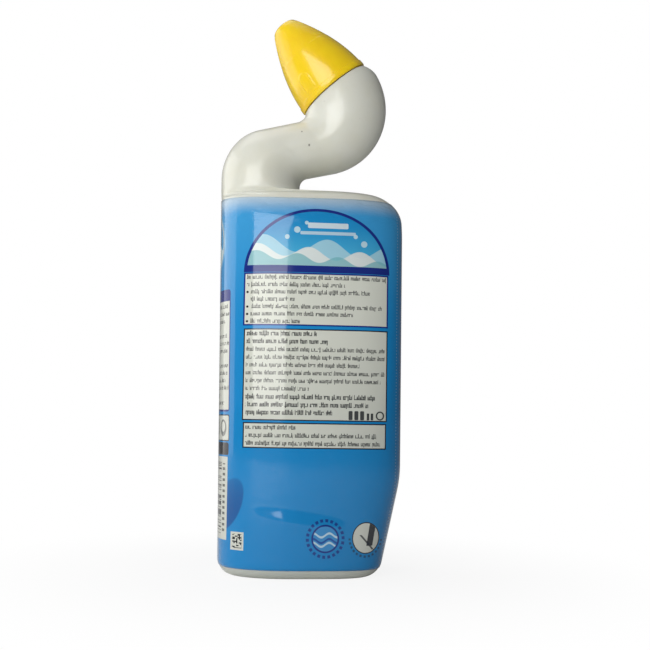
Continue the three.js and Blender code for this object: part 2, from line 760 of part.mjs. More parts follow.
add(upright, 'bottle', bottleWithThread(), 0xeeeee8, 0.38)
add(upright, 'label_sleeve', makeSleeve(), 0x2e86c8, 0.22)
add(upright, 'cleaning_gel', makeGel(), 0x2aa6b8, 0.15)
add(capGroup, 'nozzle_insert', makeNozzle(), 0xe4e6e2, 0.45)
add(capGroup, 'sealing_pad', makeSealingPad(), 0xd9d9d2, 0.8)
add(capGroup, 'cap', makeCap(), 0xf2c81e, 0.25)

export default group
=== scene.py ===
"""Toilet cleaner bottle with a duck neck: fine surfaces, print, materials, studio and camera."""

import math
import random

import bpy
from mathutils import Matrix, Vector


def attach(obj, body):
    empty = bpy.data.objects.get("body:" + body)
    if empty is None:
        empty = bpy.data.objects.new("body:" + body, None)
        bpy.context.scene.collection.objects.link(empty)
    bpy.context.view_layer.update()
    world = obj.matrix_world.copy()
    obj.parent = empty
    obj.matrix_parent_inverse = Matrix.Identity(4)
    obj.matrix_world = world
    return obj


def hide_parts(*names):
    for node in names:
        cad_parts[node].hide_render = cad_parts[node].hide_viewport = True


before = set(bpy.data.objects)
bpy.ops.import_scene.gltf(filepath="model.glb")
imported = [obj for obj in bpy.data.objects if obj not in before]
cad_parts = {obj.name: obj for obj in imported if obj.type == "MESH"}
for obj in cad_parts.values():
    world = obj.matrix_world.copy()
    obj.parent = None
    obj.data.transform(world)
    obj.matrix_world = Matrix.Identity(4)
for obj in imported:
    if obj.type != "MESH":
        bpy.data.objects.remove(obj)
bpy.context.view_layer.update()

bl_info = {
    "name": "Toilet cleaner bottle",
    "version": (1, 0, 0),
    "blender": (4, 5, 0),
    "location": "View3D > Sidebar > Bottle",
    "description": "Dresses the packed bottle with smooth surfaces, print and materials",
    "category": "Object",
}

MM = 0.001
DEG = math.pi / 180
GIRTH_SCALE = 100
WHITE = (1, 1, 1, 1)

# Sizes in millimetres. The recess, the shoulder's run and crown and the top of the film follow the
# photographed look. All others are the values of the solid part.
SHIFT = -0.6
BODY_LEFT_FOOT = 41.2
BODY_LEFT_TOP = 43.7
BODY_RIGHT = 44.9
BODY_HALF_DEPTH = 30
TAPER_SLOPE = math.tan(12.2 * DEG)
TAPER_TOP = 46
TAPER_BLEND = 12
FOOT_RADIUS = 6.5
PUSH_UP = 3
BEARING_INSET = 8.5
PUSH_UP_RUN = 7
WALL = 1.1
PANEL_RECESS = 0.5
PANEL_CENTRE = -2
PANEL_HALF_WIDTH = 33
PANEL_FOOT = 24.5
PANEL_FOOT_RISE = 7
FOOT_SLANT = 0.13
PANEL_HEAD = 150
PANEL_HEAD_RISE = 20
SHOULDER_START = 168
SHOULDER_TOP = 183
SHOULDER_CROWN = 183.1
SHOULDER_RUN = 16.4
SHOULDER_LEFT = 181
ROOT_LEFT = 184.5
FACE_START = 160
FACE_TOP = 184
FACE_RUN = 16
POCKET = (0.2, 187.2)
POCKET_RADIUS = 5.2
HUMP = (-20.9, 190)
HUMP_HEIGHT = 26
NECK_SLOPE = 14 * DEG
UNDERSIDE_SLOPE = 12.7 * DEG
CROOK = (-7.4, 220.1)
CROOK_RUN = 4.9
HEAD_CENTRE = (4.2, 228)
HEAD_RADIUS = 33.7
HEAD_ARC_END = 32 * DEG
HEAD_BULGE = (0.9, 0.6)
CAP_CENTRE = (11.6, 238)
CAP_LEAN = 40 * DEG
RIM_GAP = 0.6
COLLAR_RADIUS = 19
COLLAR_EDGE = 0.8
FINISH_RADIUS = 13.6
BORE_RADIUS = 11.6
FINISH_HEIGHT = 15
PITCH = 4
THREAD_TURNS = 1.25
NECK_THREAD_RADIUS = 15
NECK_THREAD_START = 6
CAP_RADIUS = 19.1
CAP_LENGTH = 41.8
BAND_PROUD = 0.35
CAP_WALL = 1.6
RIB_SINK = 0.07
RIB_DEPTH = 0.055
RIB_START = 23.5
RIB_END = 38.6
TAPER_DROP = 12.2
TAPER_RUN = 39.5
TAPER_POWER = 1.85
THREAD_BORE = 15.6
CAP_THREAD_RADIUS = 14.2
SKIRT_BORE = 17.4
SKIRT_DEPTH = 5
SKIRT_GROOVE = 8.5
INNER_WALL_RADIUS = 16.6
CAP_CEILING = 39.4
PAD_TURN = -133 * DEG
PAD_FOOT = 5
PAD_HEIGHT = 9
PAD_WIDTH = 6.6
PAD_PROUD = 0.27
PAD_HOLLOW = 0.18
LUG_RADIUS = 16.6
LUG_ANGLE = 22 * DEG
LUG_HEIGHT = 2.8
LUG_FOOT = -0.9
LUG_RISE = 3.7
TOOTH_FOOT = 0.6
ROOT_BURY = 0.3
FILM = 0.18
FILM_GAP = 0.12
FILM_FOOT = 4.4
FILM_TOP = 179
FILM_SAG = 1.6
HUB_INSET = 26

AXIS = (-math.sin(CAP_LEAN), math.cos(CAP_LEAN))
ACROSS = (math.cos(CAP_LEAN), math.sin(CAP_LEAN))


def mix(a, b, t):
    return a + (b - a) * t


def ease(a, b, x):
    t = min(1, max(0, (x - a) / (b - a)))
    return t * t * (3 - 2 * t)


def on_cap(along, across):
    x = CAP_CENTRE[0] + along * AXIS[0] + across * ACROSS[0]
    z = CAP_CENTRE[1] + along * AXIS[1] + across * ACROSS[1]
    return (x, z)


def left_side(z):
    return -mix(BODY_LEFT_FOOT, BODY_LEFT_TOP, z / HUMP[1])


def round_over(z, foot, top):
    rise = max(0, z - foot) / (top - foot)
    return 1 - math.sqrt(max(0, 1 - rise * rise))


def right_side(z):
    below = TAPER_TOP + TAPER_BLEND / 2 - z
    lean = 0
    if below > TAPER_BLEND:
        lean = below - TAPER_BLEND / 2
    elif below > 0:
        lean = below * below / (2 * TAPER_BLEND)
    return BODY_RIGHT - lean * TAPER_SLOPE - SHOULDER_RUN * round_over(z, SHOULDER_START, SHOULDER_TOP)


def half_depth(z):
    return BODY_HALF_DEPTH - FACE_RUN * round_over(z, FACE_START, FACE_TOP)


def recess(x, z):
    fade = max(0, 1 - ((x - PANEL_CENTRE) / PANEL_HALF_WIDTH) ** 2)
    slant = PANEL_FOOT - FOOT_SLANT * (x - PANEL_CENTRE)
    foot = ease(slant, slant + PANEL_FOOT_RISE, z)
    head = 1 - ease(PANEL_HEAD, PANEL_HEAD + PANEL_HEAD_RISE, z)
    return PANEL_RECESS * fade * fade * foot * head


QUARTER_STEPS = 64
LEFT_POWERS = [2.6, 3.5, 2.4, 2, 1.75, 1.75, 1.75, 1.8, 1.9, 2]
RIGHT_POWERS = [3.2, 2.9, 2, 1.75, 1.75, 1.75, 1.75, 1.8, 1.9, 2]


def quarter(half, depth, power, count):
    """Points of one quarter of a rounded outline, evenly spaced from its end to its middle."""
    fine = []
    for i in range(QUARTER_STEPS * 4 + 1):
        a = i / (QUARTER_STEPS * 4) * math.pi / 2
        c = max(0.0, math.cos(a)) ** (2 / power)
        s = math.sin(a) ** (2 / power)
        fine.append((half * c, depth * s))
    run = [0]
    for p, q in zip(fine, fine[1:]):
        run.append(run[-1] + math.dist(p, q))
    points = []
    j = 0
    for i in range(count):
        want = run[-1] * i / count
        while run[j + 1] < want:
            j += 1
        t = (want - run[j]) / (run[j + 1] - run[j])
        p, q = fine[j], fine[j + 1]
        points.append((mix(p[0], q[0], t), mix(p[1], q[1], t), want))
    return points, run[-1]


def section(left, right, depth, left_power, right_power, panel=False, count=48):
    """One closed ring of 4 * count points, starting at its right end, with the girth from its left end."""
    mid = ((left[0] + right[0]) / 2, (left[1] + right[1]) / 2)
    way = ((right[0] - left[0]) / 2, (right[1] - left[1]) / 2)
    half = math.hypot(*way)
    unit = (way[0] / half, way[1] / half)
    near, near_run = quarter(half, depth, right_power, count)
    far, far_run = quarter(half, depth, left_power, count)
    total = near_run + far_run
    ends = [(u, v, total - r) for u, v, r in near]
    ends.append((0, depth, far_run))
    ends += [(-u, v, r) for u, v, r in reversed(far[1:])]
    ends.append((-half, 0, 0))
    ring = ends + [(u, -v, -r) for u, v, r in reversed(ends[1:-1])]
    points = []
    for u, v, girth in ring:
        x = mid[0] + unit[0] * u
        z = mid[1] + unit[1] * u
        if panel and v:
            v -= math.copysign(recess(x, z), v) * abs(v) / depth
        points.append((x, v, z, girth))
    return points


def level(z, inset, panel=True, at=None):
    where = z if at is None else at
    return section(
        (left_side(where) + inset, z),
        (right_side(where) - inset, z),
        half_depth(z) - inset,
        LEFT_POWERS[0],
        mix(4, RIGHT_POWERS[0], ease(FACE_START, FILM_TOP, z)),
        panel,
    )


class Path:
    """A run of points with its length, and places along it that pair with the other side."""

    def __init__(self):
        self.points = []
        self.marks = []

    def to(self, points):
        for p in points:
            if not self.points or math.dist(p, self.points[-1]) > 1e-6:
                self.points.append(p)
        self.marks.append(len(self.points) - 1)

    def close(self):
        self.run = [0]
        for p, q in zip(self.points, self.points[1:]):
            self.run.append(self.run[-1] + math.dist(p, q))
        self.knots = [self.run[i] for i in self.marks]

    def at(self, s):
        lo, hi = 0, len(self.run) - 1
        while hi - lo > 1:
            m = (lo + hi) // 2
            if self.run[m] <= s:
                lo = m
            else:
                hi = m
        t = (s - self.run[lo]) / (self.run[hi] - self.run[lo])
        p, q = self.points[lo], self.points[hi]
        return (mix(p[0], q[0], t), mix(p[1], q[1], t))

    def way(self, s):
        a = self.at(max(0, s - 0.4))
        b = self.at(min(self.run[-1], s + 0.4))
        d = math.dist(a, b)
        return ((b[0] - a[0]) / d, (b[1] - a[1]) / d)


def line(a, b, n=12):
    return [(mix(a[0], b[0], i / n), mix(a[1], b[1], i / n)) for i in range(n + 1)]


def arc(centre, rx, rz, start, end, n=60):
    points = []
    for i in range(n + 1):
        a = mix(start, end, i / n)
        points.append((centre[0] + rx * math.cos(a), centre[1] + rz * math.sin(a)))
    return points


def bend(a, b, c, n=24):
    points = []
    for i in range(n + 1):
        t = i / n
        u, v, w = (1 - t) ** 2, 2 * t * (1 - t), t * t
        points.append((u * a[0] + v * b[0] + w * c[0], u * a[1] + v * b[1] + w * c[1]))
    return points


def steady(values, place):
    """Smooth value between knots that never overshoots them."""
    n = len(values) - 1
    i = min(n - 1, max(0, int(place)))
    t = place - i
    slopes = [values[k + 1] - values[k] for k in range(n)]

    def tangent(k):
        if k <= 0:
            return slopes[0]
        if k >= n:
            return slopes[-1]
        a, b = slopes[k - 1], slopes[k]
        if a * b <= 0:
            return 0
        return 2 * a * b / (a + b)

    m0, m1 = tangent(i), tangent(i + 1)
    h = values[i + 1] - values[i]
    return values[i] + t * (m0 + t * ((3 * h - 2 * m0 - m1) + t * (m0 + m1 - 2 * h)))


def neck_paths():
    width = BODY_LEFT_TOP + HUMP[0]
    line_angle = math.pi / 2 + math.atan(math.tan(NECK_SLOPE) * width / HUMP_HEIGHT)
    split = mix(math.pi, line_angle, 0.8)
    collar_left = on_cap(-RIM_GAP, -COLLAR_RADIUS)
    collar_right = on_cap(-RIM_GAP, COLLAR_RADIUS)
    corner = (CROOK[0] + CROOK_RUN, CROOK[1] + CROOK_RUN * math.tan(NECK_SLOPE))
    left = Path()
    foot, shoulder, root = ((left_side(z), z) for z in (FILM_TOP, SHOULDER_LEFT, ROOT_LEFT))
    left.to([foot])
    left.to(line(foot, shoulder))
    left.to(line(shoulder, root))
    left.to(line(root, (-BODY_LEFT_TOP, HUMP[1])))
    left.to(arc(HUMP, width, HUMP_HEIGHT, math.pi, split))
    left.to(arc(HUMP, width, HUMP_HEIGHT, split, line_angle))
    left.to(line(left.points[-1], CROOK))
    curve = bend(CROOK, corner, collar_left, 40)
    left.to(curve[:17])
    left.to(curve[16:29])
    left.to(curve[28:])
    left.close()

    right = Path()
    top = (right_side(FILM_TOP), FILM_TOP)
    edge = (BODY_RIGHT - SHOULDER_RUN, SHOULDER_CROWN)
    pocket_foot = (POCKET[0], POCKET[1] - POCKET_RADIUS)
    right.to([top])
    right.to(bend(top, (mix(top[0], edge[0], 0.4), SHOULDER_CROWN), edge))
    right.to(line(edge, pocket_foot))
    turn = math.pi / 2 + UNDERSIDE_SLOPE - 2 * math.pi
    third = mix(-math.pi / 2, turn, 0.3)
    right.to(arc(POCKET, POCKET_RADIUS, POCKET_RADIUS, -math.pi / 2, third))
    right.to(arc(POCKET, POCKET_RADIUS, POCKET_RADIUS, third, turn))
    start = UNDERSIDE_SLOPE - math.pi / 2
    head_foot = arc(HEAD_CENTRE, HEAD_RADIUS, HEAD_RADIUS, start, start + 0.1, 1)[0]
    pocket_top = right.points[-1]
    part = (mix(pocket_top[0], head_foot[0], 0.4), mix(pocket_top[1], head_foot[1], 0.4))
    right.to(line(pocket_top, part))
    right.to(line(part, head_foot))
    most = mix(start, HEAD_ARC_END, 0.72)
    right.to(arc(HEAD_CENTRE, HEAD_RADIUS, HEAD_RADIUS, start, most))
    right.to(arc(HEAD_CENTRE, HEAD_RADIUS, HEAD_RADIUS, most, HEAD_ARC_END))
    end = right.points[-1]
    bulge_x = mix(end[0], collar_right[0], 0.45) + HEAD_BULGE[0]
    bulge_z = mix(end[1], collar_right[1], 0.55) + HEAD_BULGE[1]
    right.to(bend(end, (bulge_x, bulge_z), collar_right))
    right.close()
    return left, right


NECK_DEPTHS = [half_depth(FILM_TOP), 18.8, 19.3, 19.2, 16.8, 16, 15.5, 17.6, 18.7, COLLAR_RADIUS]
NECK_RINGS = [12, 16, 8, 26, 10, 12, 26, 12, 8]


def neck_rings(inset, share=1, under_film=0):
    left, right = neck_paths()
    rings = []
    for run, rings_here in enumerate(NECK_RINGS):
        count = max(2, round(rings_here * share))
        for i in range(1, count + 1):
            place = run + i / count
            sl = steady(left.knots, place)
            sr = steady(right.knots, place)
            lp, rp = left.at(sl), right.at(sr)
            if under_film:
                inset = under_film * (1 - ease(0, 2, place))
            if inset:
                lw, rw = left.way(sl), right.way(sr)
                lp = (lp[0] + lw[1] * inset, lp[1] - lw[0] * inset)
                rp = (rp[0] - rw[1] * inset, rp[1] + rw[0] * inset)
            left_power = steady(LEFT_POWERS, place)
            right_power = steady(RIGHT_POWERS, place)
            drawn = place ** 1.4 if run == 0 else place
            depth = steady(NECK_DEPTHS, drawn) - inset
            rings.append(section(lp, rp, depth, left_power, right_power))
    return rings


def cap_point(radius, turn, along):
    x, z = on_cap(along, radius * math.cos(turn))
    return (x, radius * math.sin(turn), z, 0)


def cap_ring(radius, along, count=192):
    """Ring about the cap's axis; its radius is a number or a function of the turn."""
    points = []
    for i in range(count):
        turn = i / count * 2 * math.pi
        points.append(cap_point(radius(turn) if callable(radius) else radius, turn, along))
    return points


def loft(name, rings, closed=False, girth=False):
    """Mesh over rings of equal count; open runs are covered by a fan at each end."""
    count = len(rings[0])
    verts = [((p[0] + SHIFT) * MM, p[1] * MM, p[2] * MM) for ring in rings for p in ring]
    faces = []
    span = len(rings) if closed else len(rings) - 1
    for r in range(span):
        a = r * count
        b = ((r + 1) % len(rings)) * count
        for i in range(count):
            j = (i + 1) % count
            faces.append((a + i, a + j, b + j, b + i))
    if not closed:
        for ring, flip in ((0, True), (len(rings) - 1, False)):
            hub = len(verts)
            at = range(ring * count, (ring + 1) * count)
            verts.append(tuple(sum(verts[i][k] for i in at) / count for k in range(3)))
            for i in range(count):
                p, q = ring * count + i, ring * count + (i + 1) % count
                faces.append((hub, q, p) if flip else (hub, p, q))
    mesh = bpy.data.meshes.new(name)
    mesh.from_pydata(verts, [], faces)
    if girth:
        wrap = mesh.uv_layers.new(name="wrap")
        flat = [p for ring in rings for p in ring]
        for poly in mesh.polygons:
            gs = [flat[v][3] for v in poly.vertices]
            for loop, g in zip(poly.loop_indices, gs):
                # the ring passes from +half to -half of the girth at its right end
                if max(gs) - min(gs) > 60:
                    g = abs(g)
                vertex = flat[mesh.loops[loop].vertex_index]
                wrap.data[loop].uv = (g / GIRTH_SCALE, vertex[2] / GIRTH_SCALE)
    mesh.shade_smooth()
    obj = bpy.data.objects.new(name, mesh)
    bpy.context.scene.collection.objects.link(obj)
    return obj


def sharpen(obj, angle):
    """Marks edges over an angle as sharp, so crisp corners shade crisply."""
    obj.data.set_sharp_from_angle(angle=angle * DEG)


def helix(root, crest, start, inward=False):
    """Rings of a thread about the cap's axis, each a small trapezoid."""
    steps = 120
    rings = []
    for i in range(steps + 1):
        turn = i / steps * THREAD_TURNS
        a = turn * 2 * math.pi
        run = min(1, min(i, steps - i) / 10 + 0.1)
        reach = mix(root, crest, run)
        z = start + turn * PITCH
        corners = [(root, -0.75), (reach, -0.4), (reach, 0.4), (root, 0.75)]
        if inward:
            corners.reverse()
        rings.append([cap_point(radius, a, z + up) for radius, up in corners])
    return rings[::-1]


def arc_block(inner, outer, angle, foot, height, centre):
    """Rings of a block that follows a circle about the cap's axis."""
    corners = ((inner, foot), (outer, foot), (outer, foot + height), (inner, foot + height))
    rings = []
    for i in range(13):
        a = centre + angle * (i / 12 - 0.5)
        rings.append([cap_point(radius, a, up) for radius, up in corners])
    return rings[::-1]


def join(name, parts):
    bpy.ops.object.select_all(action="DESELECT")
    for p in parts:
        p.select_set(True)
    bpy.context.view_layer.objects.active = parts[0]
    bpy.ops.object.join()
    parts[0].name = name
    parts[0].data.name = name
    return parts[0]


# Materials


class Nodes:
    """Writes nodes and links into a node tree."""

    def __init__(self, tree):
        self.tree = tree

    def node(self, kind, values=()):
        n = self.tree.nodes.new(kind)
        for name, value in dict(values).items():
            n.inputs[name].default_value = value
        return n

    def link(self, a, b):
        self.tree.links.new(a, b)


class Inks(Nodes):
    """A material whose print and wear are written as sums of masks."""

    def __init__(self, name):
        self.mat = bpy.data.materials.new(name)
        self.mat.use_nodes = True
        super().__init__(self.mat.node_tree)
        self.bsdf = next(n for n in self.tree.nodes if n.type == "BSDF_PRINCIPLED")
        coords = self.node("ShaderNodeTexCoord")
        self.place = coords.outputs["Object"]
        split = self.node("ShaderNodeSeparateXYZ")
        self.link(self.place, split.inputs[0])
        scale = [self.both(split.outputs[k], 1000) for k in range(3)]
        self.x = self.minus(scale[0], SHIFT)
        self.y, self.z = scale[1], scale[2]

    def feed(self, socket, value):
        if isinstance(value, bpy.types.NodeSocket):
            self.link(value, socket)
        else:
            socket.default_value = value

    def math(self, operation, a, b=None, c=None, clamp=False):
        n = self.node("ShaderNodeMath")
        n.operation = operation
        n.use_clamp = clamp
        for socket, value in zip(n.inputs, (a, b, c)):
            if value is not None:
                self.feed(socket, value)
        return n.outputs[0]

    def plus(self, a, b):
        return self.math("ADD", a, b)

    def minus(self, a, b):
        return self.math("SUBTRACT", a, b)

    def both(self, a, b):
        return self.math("MULTIPLY", a, b)

    def less(self, a, b):
        return self.both(a, self.minus(1, b))

    def scaled(self, a, factor, offset, clamp=False):
        return self.math("MULTIPLY_ADD", a, factor, offset, clamp)

    def absolute(self, a):
        return self.math("ABSOLUTE", a)

    def swell(self, a):
        return self.math("SINE", a)

    def whole(self, a):
        return self.math("FLOOR", a)

    def over(self, a, b):
        return self.math("GREATER_THAN", a, b)

    def under(self, a, b):
        return self.math("LESS_THAN", a, b)

    def length(self, a, b):
        return self.math("SQRT", self.plus(self.both(a, a), self.both(b, b)))

    def ramp(self, value, low, high):
        """0 below low, 1 above high, smooth between."""
        n = self.node("ShaderNodeMapRange", {"From Min": low, "From Max": high})
        n.interpolation_type = "SMOOTHSTEP"
        self.feed(n.inputs["Value"], value)
        return n.outputs[0]

    def noise(self, scale, detail=3.0, stretch=None):
        n = self.node("ShaderNodeTexNoise", {"Scale": scale, "Detail": detail})
        source = self.place
        if stretch:
            m = self.node("ShaderNodeMapping", {"Scale": stretch})
            self.link(source, m.inputs[0])
            source = m.outputs[0]
        self.link(source, n.inputs["Vector"])
        return n.outputs["Fac"]

    def colour(self, factor, a, b):
        n = self.node("ShaderNodeMix")
        n.data_type = "RGBA"
        self.feed(n.inputs[0], factor)
        for socket, value in ((n.inputs[6], a), (n.inputs[7], b)):
            if isinstance(value, bpy.types.NodeSocket):
                self.link(value, socket)
            else:
                socket.default_value = (*value, 1)
        return n.outputs[2]

    def bump(self, height, distance, strength=1.0, after=None):
        n = self.node("ShaderNodeBump", {"Distance": distance, "Strength": strength})
        self.link(height, n.inputs["Height"])
        if after:
            self.link(after, n.inputs["Normal"])
        return n.outputs[0]

    def dice(self, u, v):
        """White noise that holds one random value for each pair of whole numbers."""
        place = self.node("ShaderNodeCombineXYZ")
        self.feed(place.inputs[0], u)
        self.feed(place.inputs[1], v)
        tone = self.node("ShaderNodeTexWhiteNoise")
        tone.noise_dimensions = "2D"
        self.link(place.outputs[0], tone.inputs["Vector"])
        return tone

    def steps(self, value, heights):
        """A stepped value: each height holds over its equal share of 0 to 1."""
        n = self.node("ShaderNodeValToRGB")
        ramp = n.color_ramp
        ramp.interpolation = "CONSTANT"
        for i, height in enumerate(heights):
            stop = ramp.elements[i] if i < 2 else ramp.elements.new(i / len(heights))
            stop.position = i / len(heights)
            stop.color = (height, height, height, 1)
        self.feed(n.inputs["Fac"], value)
        return n.outputs["Color"]

    def box(self, u, v, cu, cv, hu, hv, radius=0.0, soft=0.12):
        """1 inside a rounded rectangle, 0 outside."""
        du = self.plus(self.absolute(self.minus(u, cu)), radius - hu)
        dv = self.plus(self.absolute(self.minus(v, cv)), radius - hv)
        if radius:
            out_u = self.math("MAXIMUM", du, 0)
            out_v = self.math("MAXIMUM", dv, 0)
            far = self.length(out_u, out_v)
            near = self.math("MINIMUM", self.math("MAXIMUM", du, dv), 0)
            d = self.minus(self.plus(far, near), radius)
        else:
            d = self.math("MAXIMUM", du, dv)
        return self.scaled(d, -1 / soft, 0.5, clamp=True)

    def disc(self, u, v, cu, cv, ru, rv, soft=0.12):
        """1 inside an ellipse, 0 outside."""
        a = self.math("DIVIDE", self.minus(u, cu), ru)
        b = self.math("DIVIDE", self.minus(v, cv), rv)
        d = self.length(a, b)
        return self.scaled(self.minus(d, 1), -min(ru, rv) / soft, 0.5, clamp=True)


def srgb(r, g, b):
    def lin(v):
        v /= 255
        return v / 12.92 if v <= 0.04045 else ((v + 0.055) / 1.055) ** 2.4

    return (lin(r), lin(g), lin(b))


def bottle_plastic(colour, rough):
    k = Inks("bottle_plastic")
    s = k.bsdf.inputs
    cloud = k.noise(60, 4)
    warm = tuple(c * f for c, f in zip(colour, (0.965, 0.96, 0.93)))
    base = k.colour(k.ramp(cloud, 0.35, 0.7), colour, warm)
    specks = k.ramp(k.noise(900, 2), 0.745, 0.765)
    base = k.colour(k.both(specks, 0.25), base, tuple(c * 0.55 for c in colour))
    front = k.ramp(k.both(k.y, -1), 0, 2)
    for x, z, r in ((-1.9, 205.2, 0.42), (-5.4, 212.3, 0.3)):
        mark = k.both(front, k.disc(k.x, k.z, x, z, r, r * 1.3, 0.3))
        base = k.colour(k.both(mark, 0.75), base, srgb(70, 66, 58))
    # painted shade: the white plastic is darkened and cooled towards the foot, below 10 mm height
    low = k.both(k.ramp(k.z, 10, 4), 0.38)
    base = k.colour(low, base, srgb(112, 124, 126))
    k.link(base, s["Base Color"])
    k.link(k.scaled(k.noise(300, 3), 0.12, rough - 0.06), s["Roughness"])
    seam = k.minus(1, k.ramp(k.absolute(k.y), 0.05, 0.35))
    grain = k.bump(k.noise(1400, 2), 0.00004, 0.5)
    sag = k.bump(k.noise(45, 2), 0.0006, 0.25, grain)
    k.link(k.bump(seam, 0.00012, 0.7, sag), s["Normal"])
    s["Coat Weight"].default_value = 0.7
    s["Coat Roughness"].default_value = 0.16
    s["Subsurface Weight"].default_value = 0.2
    s["Subsurface Radius"].default_value = (1.0, 0.9, 0.75)
    s["Subsurface Scale"].default_value = 0.002
    return k.mat


def cap_plastic(colour):
    k = Inks("cap_plastic")
    s = k.bsdf.inputs
    flow = k.noise(70, 3)
    deep = tuple(c * f for c, f in zip(colour, (0.95, 0.9, 0.8)))
    k.link(k.colour(k.ramp(flow, 0.3, 0.75), colour, deep), s["Base Color"])
    k.link(k.scaled(k.noise(500, 3), 0.1, 0.2), s["Roughness"])
    k.link(k.bump(k.noise(120, 2), 0.0003, 0.12, k.bump(k.noise(1500, 2), 0.000012, 0.3)), s["Normal"])
    s["Coat Weight"].default_value = 0.4
    s["Coat Roughness"].default_value = 0.03
    s["Subsurface Weight"].default_value = 0.15
    s["Subsurface Radius"].default_value = (1.0, 0.6, 0.1)
    s["Subsurface Scale"].default_value = 0.0015
    return k.mat


def plain_plastic(name, colour, rough, grain_scale):
    k = Inks(name)
    s = k.bsdf.inputs
    shade = tuple(c * 0.88 for c in colour)
    k.link(k.colour(k.ramp(k.noise(150, 4), 0.3, 0.7), colour, shade), s["Base Color"])
    k.link(k.scaled(k.noise(400, 3), 0.12, rough - 0.06), s["Roughness"])
    k.link(k.bump(k.noise(grain_scale, 3), 0.00006, 0.6), s["Normal"])
    return k.mat


